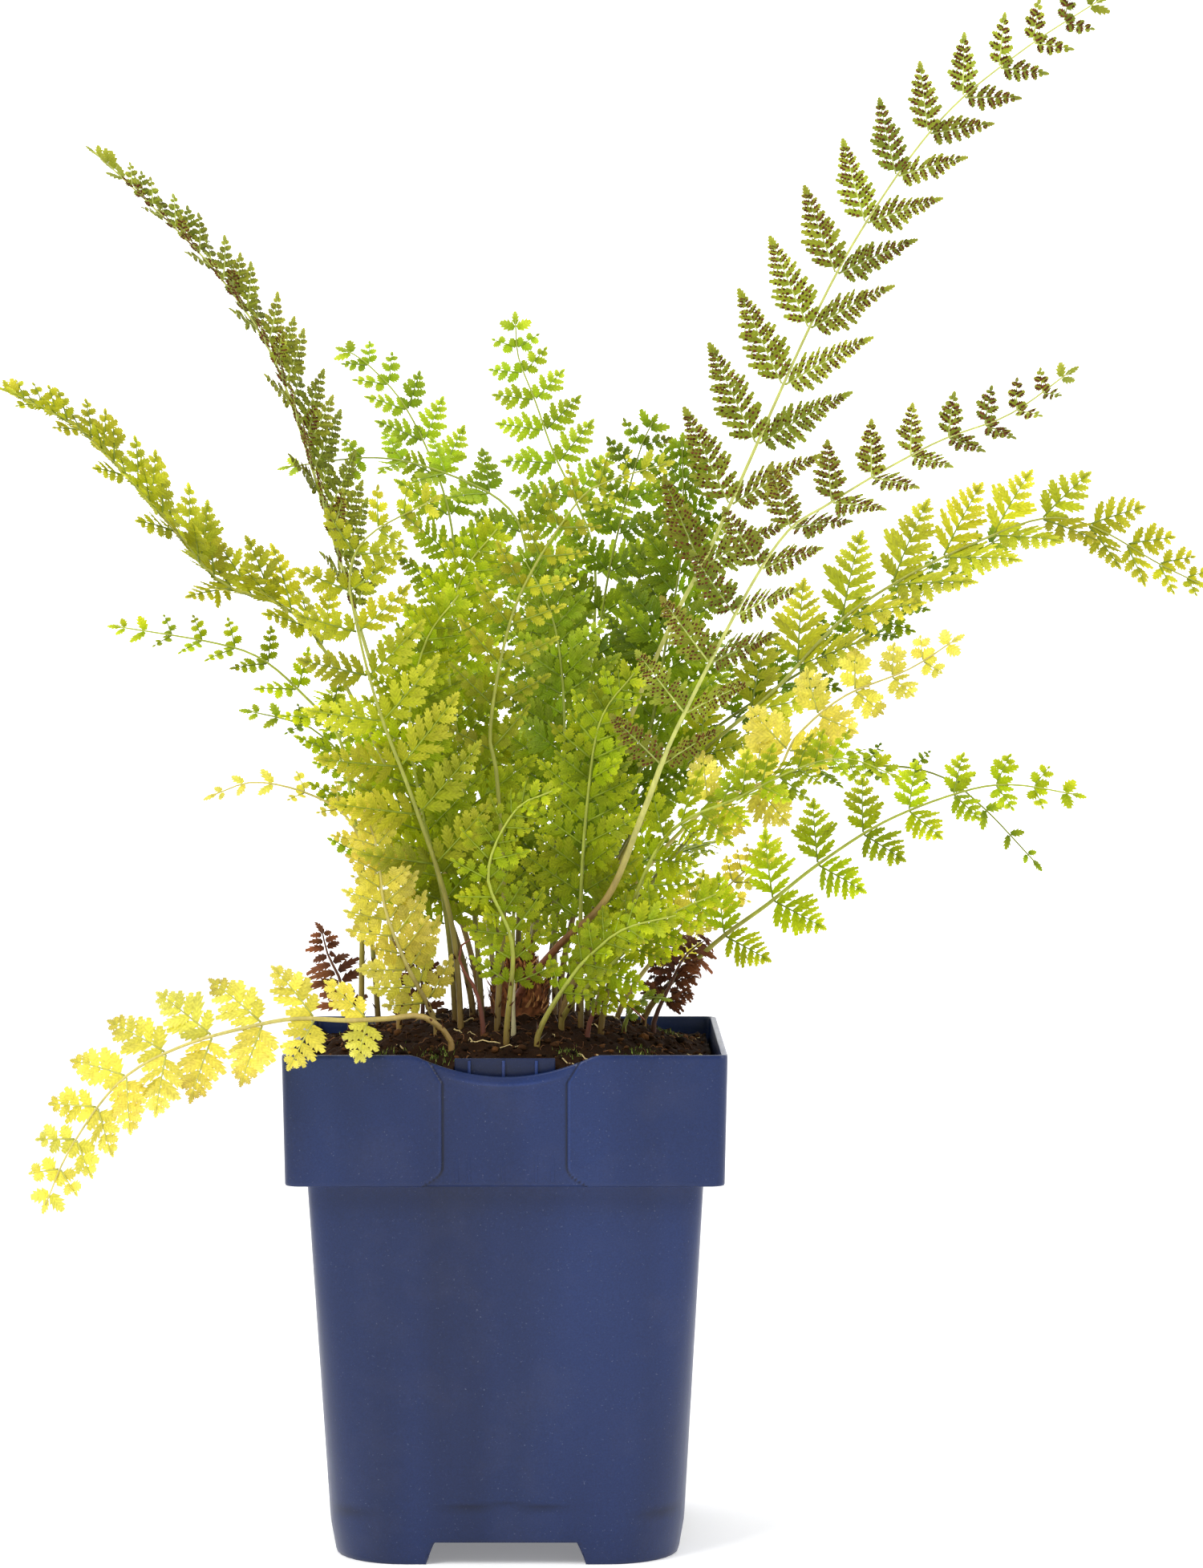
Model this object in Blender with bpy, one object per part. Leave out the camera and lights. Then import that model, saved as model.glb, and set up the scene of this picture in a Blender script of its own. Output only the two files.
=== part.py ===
import bpy
import itertools
import math
from mathutils import Vector
from mathutils.bvhtree import BVHTree

# Potted lady fern. Sizes in millimetres, written to the scene in metres.
MM = 0.001

# Pot
POT_HEIGHT = 152.0
COLLAR_HALF = 65.0
COLLAR_DROP = 38.5
COLLAR_WALL = 1.8
COLLAR_DRAFT = 0.8
BODY_TOP_HALF = 58.2
BODY_LOW_HALF = 53.0
FOOT_HALF = 51.3
FOOT_CHAMFER = 10.0
WALL = 1.6
FLOOR_UNDER = 7.4
FLOOR_TOP = 9.2
CORNER_COLLAR = 3.5
CORNER_TOP = 5.0
CORNER_LOW = 22.0
CORNER_STEPS = 3
NOTCH_WIDTH = 45.0
NOTCH_HEIGHT = 6.8
RECESS_HALF = 18.3
RECESS_DEPTH = 0.8
RIM_DIP_HALF = 26.5
RIM_DIP = 6.4
POCKET_GAP = 3.4
POCKET_HALF = 14.7
POCKET_WALL = 1.4
RIB_SPOTS = (-10.4, -0.4, 9.2)
DRAIN_HALF = 3.4
DRAIN_SPOTS = ((28, 24), (-28, 24), (28, -24), (-28, -24), (36, 1), (-36, 1))
BOSS_HALF = (8.4, 7.6)

# Soil
FIT = 0.35
SOIL_EDGE = 147.0
SOIL_RISE = 12.5
SOIL_REACH = 64.0
SOIL_RINGS = (0.88, 0.7, 0.5, 0.25)
STEM_DEPTH = 6.0

# Crown of the rootstock
CROWN_AT = (3.0, -5.0)
CROWN_HALF = (8.6, 7.4)
CROWN_FOOT = 150.0
CROWN_TOP = 178.0
CROWN_SIDES = 12

# Fronds
BLADE = 0.66
STEM_HALF = 1.15
TIP_HALF = 0.42
CLEAR = 0.4
SMALL_PINNA = 9.0
EDGE_OUT = 0.08
TWISTS = (0, 12, -12, 24, -24, 38, -38, 55, -55)
SHORTER = (1.0, 0.82, 0.64, 0.46)

# Each frond: colour kind, first pair as a share of its length, pairs, longest
# pinna, pinna angle, fold of the two sides, cut of a pinna (3 joined at the root,
# 4 slim and apart, 5 lobed, 7 twice lobed), upper face,
# then the line of its stem in millimetres, from the soil to the tip.
FRONDS = {
    "frond_tall_right": ("fertile", 0.42, 14, 35, 49, 22, 4, (-0.4, 0.9, 0.1), [
        (15, 3), (19, 0, 186), (31, -8, 233), (48, -18, 275), (62, -26, 303),
        (91, -44, 368), (109, -52, 400), (128, -58, 425), (150, -62, 443), (172, -66, 457)]),
    "frond_front_right": ("fertile", 0.38, 14, 28, 62, 20, 4, (-0.5, 0.75, 0.45), [
        (1, -20), (14, -31, 180), (30, -46, 197), (41, -58, 224), (51, -66, 249),
        (77, -78, 298), (94, -84, 312), (122, -90, 328), (143, -95, 336), (160, -98, 348)]),
    "frond_gold_right": ("gold", 0.34, 12, 37, 42, 20, 7, (-0.35, -0.75, 0.6), [
        (19, 10), (28, 9, 193), (44, 8, 222), (61, 8, 240), (81, 8, 257),
        (102, 8, 279), (123, 6, 293), (146, 4, 304), (164, 2, 310), (179, 0, 307), (198, -2, 296),
        (210, -4, 290)]),
    "frond_tall_left": ("fertile", 0.45, 15, 24, 48, 40, 4, (0.75, -0.4, 0.5), [
        (-9, 8), (-17, 8, 193), (-29, 8, 223), (-43, 6, 267), (-55, 2, 308),
        (-66, 0, 344), (-75, -4, 365), (-91, -8, 387), (-111, -10, 407), (-125, -12, 420)]),
    "frond_gold_left": ("gold", 0.48, 13, 26, 52, 30, 3, (0.5, -0.4, 0.8), [
        (-11, -8), (-20, -10, 194), (-40, -12, 241), (-57, -14, 272), (-68, -16, 283),
        (-86, -20, 290), (-100, -24, 306), (-113, -28, 321), (-128, -32, 336), (-149, -36, 347)]),
    "frond_pale_left": ("pale", 0.24, 10, 28, 60, 8, 7, (-0.15, -0.8, 0.6), [
        (-16, -46), (-24, -51, 162), (-34, -57, 162), (-45, -63, 162), (-58, -68, 163),
        (-69, -72, 162), (-92, -76, 156), (-110, -80, 146), (-124, -82, 127), (-131, -84, 111)]),
    "frond_droop_right": ("lime", 0.26, 9, 24, 66, 12, 5, (-0.1, -0.75, 0.65), [
        (41, 8), (61, 4, 178), (79, 0, 192), (95, -4, 205), (115, -8, 218),
        (138, -12, 227), (153, -14, 229), (172, -16, 226)]),
    "frond_yellow_right": ("pale", 0.48, 8, 20, 68, 14, 5, (-0.2, -0.8, 0.5), [
        (16, -14), (35, -20, 195), (59, -28, 222), (79, -34, 232), (86, -36, 244),
        (100, -38, 256), (119, -40, 264), (133, -42, 273)]),
    "frond_yellow_left": ("gold", 0.3, 11, 29, 60, 16, 5, (0.1, -0.9, 0.35), [
        (-14, -27), (-17, -33, 191), (-27, -42, 224), (-37, -50, 252), (-43, -56, 276),
        (-45, -60, 292), (-39, -64, 303), (-20, -72, 313)]),
    "frond_top_centre": ("green", 0.5, 11, 25, 64, 8, 4, (0.0, -0.95, 0.25), [
        (4, 22), (13, 28, 210), (24, 34, 260), (26, 38, 298), (19, 40, 319),
        (13, 42, 332), (7, 44, 349), (2, 45, 362), (1, 46, 374)]),
    "frond_fine_left": ("green", 0.45, 11, 27, 50, 12, 4, (0.35, -0.8, 0.4), [
        (-3, 20), (-7, 24, 210), (-13, 28, 260), (-17, 30, 290), (-19, 32, 310),
        (-24, 32, 327), (-34, 34, 347), (-46, 36, 360), (-53, 38, 364)]),
    "frond_yellow_centre": ("gold", 0.42, 12, 20, 54, 22, 3, (0.2, -0.85, 0.4), [
        (-3, -29), (-1, -29, 195), (-3, -31, 232), (-5, -32, 245), (-1, -36, 270),
        (6, -40, 290), (21, -46, 313), (30, -50, 319), (47, -56, 324)]),
    "frond_dark_upright": ("deep", 0.34, 11, 31, 56, 14, 3, (-0.2, -0.9, 0.3), [
        (11, 14), (20, 16, 223), (26, 18, 265), (30, 18, 291), (34, 16, 309),
        (40, 14, 331), (44, 12, 340)]),
    "frond_across_left": ("green", 0.5, 9, 22, 58, 15, 4, (0.1, -0.6, 0.8), [
        (2, 12), (4, 16, 223), (6, 18, 272), (5, 17, 300), (-2, 16, 315),
        (-22, 16, 325), (-42, 14, 329), (-69, 12, 326)]),
    "frond_dark_right": ("deep", 0.4, 10, 19, 60, 20, 3, (-0.3, -0.7, 0.6), [
        (16, 20), (36, 26, 210), (58, 30, 240), (83, 32, 258), (106, 34, 272),
        (128, 34, 288), (150, 32, 303), (161, 30, 307)]),
    "frond_inner_tall": ("deep", 0.34, 11, 30, 54, 16, 3, (-0.3, -0.9, 0.3), [
        (24, 3), (31, 4, 204), (42, 4, 240), (48, 6, 272), (53, 8, 302), (53, 10, 334)]),
    "frond_inner_mid": ("green", 0.2, 11, 30, 58, 14, 3, (0.0, -0.95, 0.25), [
        (14, -6), (14, -8, 204), (17, -9, 243), (14, -8, 277), (4, -8, 299)]),
    "frond_inner_left": ("lime", 0.2, 11, 28, 58, 14, 3, (0.2, -0.95, 0.25), [
        (-8, -17), (-11, -16, 200), (-14, -18, 236), (-18, -20, 267), (-14, -22, 291),
        (-3, -24, 306)]),
    "frond_bright_right": ("lime", 0.26, 9, 22, 62, 12, 3, (-0.1, -0.6, 0.8), [
        (28, -24), (36, -30, 189), (45, -36, 211), (54, -42, 220), (68, -46, 226),
        (86, -50, 235), (100, -53, 238), (114, -56, 233)]),
    "frond_left_mid": ("lime", 0.42, 10, 18, 60, 16, 4, (0.2, -0.7, 0.7), [
        (-45, -6), (-45, -4, 197), (-48, -2, 223), (-52, 0, 243), (-63, 2, 256),
        (-76, 4, 267), (-91, 6, 272), (-121, 8, 277)]),
    "frond_low_mid": ("lime", 0.2, 8, 24, 58, 16, 3, (-0.1, -0.9, 0.4), [
        (22, -22), (22, -24, 194), (24, -28, 225), (28, -32, 249), (38, -36, 263)]),
    "frond_low_inner": ("lime", 0.2, 10, 26, 58, 16, 3, (0.2, -0.9, 0.4), [
        (-16, -17), (-19, -22, 193), (-25, -28, 220), (-29, -32, 248), (-24, -36, 272),
        (-14, -40, 286)]),
    "frond_low_left": ("pale", 0.14, 8, 18, 58, 16, 3, (0.2, -0.9, 0.4), [
        (-21, -30), (-30, -38, 177), (-36, -42, 194), (-38, -44, 211), (-43, -46, 226)]),
    "frond_low_right": ("lime", 0.2, 7, 20, 58, 14, 3, (-0.3, -0.8, 0.5), [
        (16, -26), (31, -36, 176), (46, -42, 190), (62, -48, 198)]),
    "frond_front_low": ("lime", 0.2, 7, 17, 58, 14, 3, (0.1, -0.75, 0.65), [
        (0, -42), (2, -50, 183), (-5, -58, 204), (3, -64, 223), (14, -70, 229)]),
    "frond_front_small": ("lime", 0.3, 6, 13, 58, 12, 3, (-0.2, -0.8, 0.5), [
        (9, -44), (19, -48, 173), (26, -50, 181), (35, -52, 188), (50, -54, 192)]),
    "frond_thin_right": ("deep", 0.5, 8, 12, 58, 14, 4, (-0.1, -0.7, 0.7), [
        (21, 26), (48, 34, 202), (79, 40, 228), (115, 44, 233), (135, 46, 230),
        (149, 46, 220), (166, 44, 202)]),
    "frond_left_small": ("green", 0.45, 7, 13, 58, 14, 3, (0.1, -0.7, 0.7), [
        (-41, 14), (-45, 14, 198), (-51, 12, 233), (-59, 12, 244), (-68, 12, 248),
        (-81, 12, 251)]),
    "frond_left_brown": ("pale", 0.4, 7, 11, 58, 14, 3, (0.1, -0.6, 0.8), [
        (-33, -14), (-37, -16, 192), (-47, -16, 217), (-59, -18, 226), (-76, -20, 230),
        (-89, -22, 226)]),
    "frond_pale_back": ("pale", 0.3, 6, 15, 60, 14, 3, (-0.3, -0.7, 0.6), [
        (33, 30), (53, 36, 182), (69, 40, 196), (83, 44, 209)]),
    "frond_back_left": ("green", 0.26, 8, 27, 58, 12, 3, (0.1, -0.3, 0.95), [
        (-5, 32), (-13, 60, 221), (-22, 88, 259), (-31, 115, 281)]),
    "frond_back_tall": ("green", 0.26, 8, 28, 58, 12, 3, (0.0, -0.3, 0.95), [
        (5, 36), (10, 66, 221), (15, 98, 259), (17, 130, 283)]),
    "frond_back_right": ("deep", 0.26, 8, 26, 58, 12, 3, (-0.2, -0.3, 0.95), [
        (16, 34), (36, 60, 216), (54, 86, 252), (71, 112, 273)]),
    "frond_back_wide": ("lime", 0.26, 8, 26, 58, 12, 3, (0.3, -0.3, 0.9), [
        (-12, 26), (-30, 49, 209), (-48, 73, 240), (-61, 95, 256)]),
    "frond_back_low": ("gold", 0.24, 8, 22, 60, 10, 3, (0.0, 0.1, 1.0), [
        (0, 46), (0, 72, 189), (2, 98, 201), (0, 122, 199)]),
    "frond_back_side": ("lime", 0.24, 8, 21, 60, 10, 3, (-0.1, 0.0, 1.0), [
        (26, 38), (41, 62, 190), (54, 86, 204), (65, 108, 206)]),
    "dead_right": ("dead", 0.3, 6, 9, 70, 30, 3, (-0.3, -0.9, 0.2), [
        (44, -3), (49, -2, 167), (54, 4, 176), (61, 8, 181)]),
    "dead_left": ("dead", 0.3, 5, 7, 70, 30, 3, (0.3, -0.9, 0.2), [
        (-49, 4), (-52, 5, 168), (-56, 7, 176), (-58, 8, 184)]),
    "dead_centre": ("dead", 0.3, 4, 6, 70, 30, 3, (0.2, -0.9, 0.2), [
        (-26, -14), (-26, -14, 168), (-28, -15, 175), (-32, -16, 180)]),
    "weed_right": ("green", 0.4, 3, 5, 60, 10, 3, (0.0, -0.5, 0.9), [
        (35, -16), (38, -18, 162), (42, -20, 165), (47, -22, 165)]),
    "stalk_curled_left": ("stalk", 1.0, 0, 0, 0, 0, 3, (0.0, -1.0, 0.1), [
        (-7, -35), (-9, -35, 168), (-14, -36, 177), (-12, -37, 184), (-6, -37, 183)]),
    "stalk_curled_right": ("stalk", 1.0, 0, 0, 0, 0, 3, (0.0, -1.0, 0.1), [
        (24, -34), (28, -35, 165), (35, -37, 165), (41, -39, 160)]),
    "stalk_cut": ("straw", 1.0, 0, 0, 0, 0, 3, (0.0, -1.0, 0.1), [
        (2, -35), (2, -35, 164), (2.5, -35, 172)]),
}

COLOURS = {
    "fertile": (0.10, 0.19, 0.02), "gold": (0.42, 0.46, 0.03), "pale": (0.62, 0.60, 0.10),
    "lime": (0.26, 0.42, 0.02), "green": (0.11, 0.27, 0.02), "deep": (0.05, 0.16, 0.02),
    "dead": (0.05, 0.02, 0.012), "stalk": (0.16, 0.05, 0.03), "straw": (0.50, 0.47, 0.26),
    "pot": (0.035, 0.055, 0.14), "soil": (0.02, 0.012, 0.008), "crown": (0.12, 0.05, 0.02),
}
ROUGHNESS = {"pot": 0.42, "soil": 0.95, "crown": 0.85, "dead": 0.8}


def clear_scene():
    for obj in list(bpy.data.objects):
        bpy.data.objects.remove(obj, do_unlink=True)


def make_material(name):
    mat = bpy.data.materials.new(name)
    mat.use_nodes = True
    shader = mat.node_tree.nodes["Principled BSDF"]
    shader.inputs["Base Color"].default_value = (*COLOURS[name], 1.0)
    shader.inputs["Roughness"].default_value = ROUGHNESS.get(name, 0.55)
    mat.diffuse_color = (*COLOURS[name], 1.0)
    return mat


def make_object(name, points, faces, mat=None):
    mesh = bpy.data.meshes.new(name)
    mesh.from_pydata([tuple(c * MM for c in p) for p in points], [], faces)
    mesh.update()
    obj = bpy.data.objects.new(name, mesh)
    bpy.context.scene.collection.objects.link(obj)
    if mat:
        mesh.materials.append(mat)
    return obj


def as_cutter(obj):
    obj.hide_render = True
    obj.display_type = "WIRE"
    return obj


def apply_booleans(target, steps):
    bpy.context.view_layer.objects.active = target
    for number, (operation, cutter) in enumerate(steps):
        boolean = target.modifiers.new("bool_%d" % number, "BOOLEAN")
        boolean.operation = operation
        boolean.solver = "EXACT"
        boolean.object = cutter
        bpy.ops.object.modifier_apply(modifier=boolean.name)
    for _, cutter in steps:
        if cutter.name in bpy.data.objects:
            bpy.data.objects.remove(cutter, do_unlink=True)


# Plain shapes
def box(name, low, high):
    x0, y0, z0 = low
    x1, y1, z1 = high
    points = [(x0, y0, z0), (x1, y0, z0), (x1, y1, z0), (x0, y1, z0),
              (x0, y0, z1), (x1, y0, z1), (x1, y1, z1), (x0, y1, z1)]
    faces = [(3, 2, 1, 0), (4, 5, 6, 7), (0, 1, 5, 4), (1, 2, 6, 5), (2, 3, 7, 6), (3, 0, 4, 7)]
    return make_object(name, points, faces)


def prism(name, outline, y0, y1):
    """Outline in x and z, anticlockwise seen from the front, from y0 back to y1."""
    n = len(outline)
    points = [(x, y0, z) for x, z in outline] + [(x, y1, z) for x, z in outline]
    faces = [tuple(range(n)), tuple(range(2 * n - 1, n - 1, -1))]
    for i in range(n):
        j = (i + 1) % n
        faces.append((i, i + n, j + n, j))
    return make_object(name, points, faces)


def rounded_square(half, radius, z):
    """Anticlockwise ring of points seen from above."""
    ring = []
    for quarter in range(4):
        middle = math.radians(45 + 90 * quarter)
        cx = math.copysign(half - radius, math.cos(middle))
        cy = math.copysign(half - radius, math.sin(middle))
        for step in range(CORNER_STEPS + 1):
            turn = math.radians(90 * quarter + 90 * step / CORNER_STEPS)
            ring.append((cx + radius * math.cos(turn), cy + radius * math.sin(turn), z))
    return ring


def lathe_rings(name, rings, mat=None):
    """Closed body through rings of equal count, first and last closed with a fan."""
    n = len(rings[0])
    points = [p for ring in rings for p in ring]
    faces = []
    for k in range(len(rings) - 1):
        for i in range(n):
            j = (i + 1) % n
            faces.append((k * n + i, k * n + j, k * n + n + j))
            faces.append((k * n + i, k * n + n + j, k * n + n + i))
    for ring, first, flip in ((rings[0], 0, True), (rings[-1], (len(rings) - 1) * n, False)):
        middle = len(points)
        points.append((sum(p[0] for p in ring) / n, sum(p[1] for p in ring) / n,
                       sum(p[2] for p in ring) / n))
        for i in range(n):
            j = (i + 1) % n
            faces.append((middle, first + j, first + i) if flip else (middle, first + i, first + j))
    return make_object(name, points, faces, mat)


# Pot
def build_pot(mat):
    collar_low = POT_HEIGHT - COLLAR_DROP
    inner_low = BODY_LOW_HALF - WALL
    rings = [
        rounded_square(FOOT_HALF - WALL - 1.5, CORNER_LOW - 2.2, FLOOR_UNDER),
        rounded_square(FOOT_HALF - WALL - 1.2, CORNER_LOW - 2.0, 0.0),
        rounded_square(FOOT_HALF, CORNER_LOW - 0.5, 0.0),
        rounded_square(BODY_LOW_HALF, CORNER_LOW, FOOT_CHAMFER),
        rounded_square(BODY_TOP_HALF, CORNER_TOP, collar_low),
        rounded_square(COLLAR_HALF - COLLAR_DRAFT, CORNER_COLLAR, collar_low),
        rounded_square(COLLAR_HALF, CORNER_COLLAR, POT_HEIGHT),
        rounded_square(COLLAR_HALF - COLLAR_WALL, CORNER_COLLAR - 1.2, POT_HEIGHT),
        rounded_square(COLLAR_HALF - COLLAR_DRAFT - COLLAR_WALL, CORNER_COLLAR - 1.2, collar_low + WALL),
        rounded_square(BODY_TOP_HALF - WALL, CORNER_TOP - 1.0, collar_low + WALL),
        rounded_square(inner_low, CORNER_LOW - 1.4, FLOOR_TOP),
    ]
    pot = lathe_rings("pot", rings, mat)
    steps = [("UNION", box("boss", (-BOSS_HALF[0], -BOSS_HALF[1], 0),
                           (BOSS_HALF[0], BOSS_HALF[1], FLOOR_UNDER + 0.8)))]
    # inner foot bars stand behind the notches, with a drain channel between them
    for turn in range(4):
        for x0, x1 in ((-22.0, 3.0), (9.0, 20.0)):
            spots = ((x0, -42.5), (x1, -40.5))
            for _ in range(turn):
                spots = tuple((-y, x) for x, y in spots)
            xs = sorted(p[0] for p in spots)
            ys = sorted(p[1] for p in spots)
            steps.append(("UNION", box("foot_bar", (xs[0], ys[0], 0), (xs[1], ys[1], FLOOR_UNDER + 0.8))))
    # pocket behind the dip of the rim
    front = -(COLLAR_HALF - COLLAR_WALL) + 0.3
    panel = -(COLLAR_HALF - COLLAR_WALL) + POCKET_GAP
    low = collar_low + WALL - 0.6
    steps.append(("UNION", box("pocket_back", (-POCKET_HALF, panel, low),
                               (POCKET_HALF, panel + POCKET_WALL, POT_HEIGHT - 1.4))))
    for x in (-POCKET_HALF, POCKET_HALF - POCKET_WALL):
        steps.append(("UNION", box("pocket_end", (x + 0.01, front - 0.8, low + 0.01),
                                   (x + POCKET_WALL - 0.01, panel + 0.7, POT_HEIGHT - 8.2))))
    for x in RIB_SPOTS:
        steps.append(("UNION", box("pocket_rib", (x - 0.6, front - 0.8, low + 0.02),
                                   (x + 0.6, panel + 0.7, POT_HEIGHT - 8.6))))
    # dip of the rim and recessed middle panel, front only
    dip = [(-RIM_DIP_HALF - 4, POT_HEIGHT + 5)]
    for step in range(9):
        x = -RIM_DIP_HALF + 2 * RIM_DIP_HALF * step / 8
        dip.append((x, POT_HEIGHT + 0.4 - (RIM_DIP + 0.4) * (1 - (x / RIM_DIP_HALF) ** 2)))
    dip.append((RIM_DIP_HALF + 4, POT_HEIGHT + 5))
    steps.append(("DIFFERENCE", prism("dip", dip, -COLLAR_HALF - 3, -(COLLAR_HALF - COLLAR_WALL) + 0.6)))
    flare = RECESS_HALF + 4.0
    recess = [(-flare, collar_low - 2), (flare, collar_low - 2), (flare, collar_low + 1.2),
              (RECESS_HALF + 0.8, collar_low + 4.5), (RECESS_HALF, POT_HEIGHT - 5),
              (RECESS_HALF + 6, POT_HEIGHT + 3), (-RECESS_HALF - 6, POT_HEIGHT + 3),
              (-RECESS_HALF, POT_HEIGHT - 5), (-RECESS_HALF - 0.8, collar_low + 4.5),
              (-flare, collar_low + 1.2)]
    cut = prism("recess", recess, -COLLAR_HALF - 3, -COLLAR_HALF + RECESS_DEPTH)
    for vert in cut.data.vertices:
        vert.co.y += COLLAR_DRAFT * (POT_HEIGHT * MM - vert.co.z) / COLLAR_DROP
    steps.append(("DIFFERENCE", cut))
    # notches under the four sides
    half = NOTCH_WIDTH / 2
    notch = [(-half - 0.8, -2), (half + 0.8, -2), (half - 1.2, NOTCH_HEIGHT), (-half + 1.2, NOTCH_HEIGHT)]
    cut = prism("notch_y", notch, -BODY_LOW_HALF - 4, -FOOT_HALF + 6)
    steps.append(("DIFFERENCE", cut))
    cut = prism("notch_back", notch, FOOT_HALF - 6, BODY_LOW_HALF + 4)
    steps.append(("DIFFERENCE", cut))
    for name, y0, y1 in (("notch_left", FOOT_HALF - 6, BODY_LOW_HALF + 4),
                         ("notch_right", -BODY_LOW_HALF - 4, -FOOT_HALF + 6)):
        cut = prism(name, notch, y0, y1)
        for vert in cut.data.vertices:
            vert.co = Vector((-vert.co.y, vert.co.x, vert.co.z))
        steps.append(("DIFFERENCE", cut))
    # drain holes through the floor
    for x, y in DRAIN_SPOTS:
        steps.append(("DIFFERENCE", box("drain", (x - DRAIN_HALF, y - DRAIN_HALF, FLOOR_UNDER - 2),
                                        (x + DRAIN_HALF, y + DRAIN_HALF, FLOOR_TOP + 2))))
    for _, cutter in steps:
        as_cutter(cutter)
    apply_booleans(pot, steps)
    return pot


# Soil
def soil_height(x, y):
    reach = min(1.0, math.hypot(x, y) / SOIL_REACH)
    crumbs = 0.7 * math.sin(x * 0.71 + 1.3) * math.cos(y * 0.63) + 0.4 * math.sin(x * 0.29 - y * 0.41)
    return SOIL_EDGE + SOIL_RISE * (1 - reach * reach) + crumbs


def build_soil(mat, stems):
    collar_low = POT_HEIGHT - COLLAR_DROP
    low = FLOOR_TOP + FIT
    half_low = BODY_LOW_HALF - WALL - FIT
    half_top = BODY_TOP_HALF - WALL - FIT
    half_collar = COLLAR_HALF - COLLAR_DRAFT - COLLAR_WALL - FIT
    edge = rounded_square(half_collar, CORNER_COLLAR - 1.4, 0)
    rings = [
        rounded_square(half_low - 0.1, CORNER_LOW - 1.6, low),
        rounded_square(half_top, CORNER_TOP - 1.2, collar_low + WALL + FIT),
        rounded_square(half_collar, CORNER_COLLAR - 1.4, collar_low + WALL + FIT),
        [(x, y, soil_height(x, y)) for x, y, _ in edge],
    ]
    for share in SOIL_RINGS:
        rings.append([(x * share, y * share, soil_height(x * share, y * share)) for x, y, _ in edge])
    soil = lathe_rings("soil", rings, mat)
    panel = -(COLLAR_HALF - COLLAR_WALL) + POCKET_GAP + POCKET_WALL
    steps = [("DIFFERENCE", box("pocket_room", (-POCKET_HALF - FIT, -COLLAR_HALF - 1, collar_low - 1),
                                (POCKET_HALF + FIT, panel + FIT, POT_HEIGHT + 8)))]
    pocket = crown_ring(CROWN_FOOT - FIT, FIT), crown_ring(POT_HEIGHT + 25, FIT)
    steps.append(("DIFFERENCE", lathe_rings("crown_room", list(pocket))))
    holes = []
    faces = []
    for ring_low, ring_high in stems:
        first = len(holes)
        holes += ring_low + ring_high
        faces += [(first + 3, first + 2, first + 1, first), (first + 4, first + 5, first + 6, first + 7)]
        for i in range(4):
            j = (i + 1) % 4
            faces.append((first + i, first + j, first + 4 + j, first + 4 + i))
    steps.append(("DIFFERENCE", make_object("stem_holes", holes, faces)))
    for _, cutter in steps:
        as_cutter(cutter)
    apply_booleans(soil, steps)
    return soil


# Crown
def crown_ring(z, grow=0.0, share=1.0, knob=0.0, phase=0.0):
    ring = []
    for i in range(CROWN_SIDES):
        turn = math.tau * i / CROWN_SIDES
        size = share * (1 + knob * math.sin(3 * turn + phase))
        ring.append((CROWN_AT[0] + (CROWN_HALF[0] * size + grow) * math.cos(turn),
                     CROWN_AT[1] + (CROWN_HALF[1] * size + grow) * math.sin(turn), z))
    return ring


def build_crown(mat):
    rings = [crown_ring(CROWN_FOOT)]
    rings.append(crown_ring(161.5))
    rings.append(crown_ring(165.0, 0.0, 0.92, 0.08, 0.4))
    rings.append(crown_ring(169.5, 0.0, 0.94, 0.08, 1.9))
    rings.append(crown_ring(173.5, 0.0, 0.74, 0.16, 3.4))
    rings.append(crown_ring(CROWN_TOP - 1.0, 0.0, 0.42, 0.2, 5.0))
    return lathe_rings("crown", rings, mat)


# Lines of the stems
def stem_line(spots):
    """Points every 2 mm or so: straight out of the soil, then a smooth curve."""
    x, y = spots[0]
    ground = soil_height(x, y)
    root = Vector((x, y, ground - STEM_DEPTH))
    knots = [Vector((x, y, ground + 1.5))] + [Vector(p) for p in spots[1:]]
    before = knots[0] - Vector((0, 0, (knots[1] - knots[0]).length))
    after = 2 * knots[-1] - knots[-2]
    chain = [before] + knots + [after]
    line = [root]
    for k in range(1, len(chain) - 2):
        a, b, c, d = chain[k - 1:k + 3]
        for step in range(8):
            t = step / 8
            line.append(0.5 * ((2 * b) + (c - a) * t + (2 * a - 5 * b + 4 * c - d) * t * t
                               + (3 * b - a - 3 * c + d) * t ** 3))
    line.append(knots[-1])
    return line


class Line:
    def __init__(self, points):
        self.points = points
        self.reach = [0.0]
        for a, b in zip(points, points[1:]):
            self.reach.append(self.reach[-1] + (b - a).length)
        self.length = self.reach[-1]

    def at(self, s):
        s = min(max(s, 0.0), self.length)
        k = 0
        while k < len(self.reach) - 2 and self.reach[k + 1] < s:
            k += 1
        t = (s - self.reach[k]) / (self.reach[k + 1] - self.reach[k])
        return self.points[k].lerp(self.points[k + 1], t)

    def frame(self, s, face):
        """Direction along the stem, across it, and out of the upper face."""
        along = (self.at(s + 1.5) - self.at(s - 1.5)).normalized()
        across = along.cross(face).normalized()
        return along, across, across.cross(along).normalized()


def stem_half(share):
    return STEM_HALF + (TIP_HALF - STEM_HALF) * min(1.0, share) ** 0.8


def station(line, s, face):
    """Four corners of the stem: upper left, upper right, lower right, lower left."""
    along, across, up = line.frame(s, face)
    half = stem_half(s / line.length)
    high = max(half * 0.92, BLADE / 2 + 0.02)
    middle = line.at(s)
    return [middle + across * half + up * high, middle - across * half + up * high,
            middle - across * half - up * high, middle + across * half - up * high]


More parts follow.
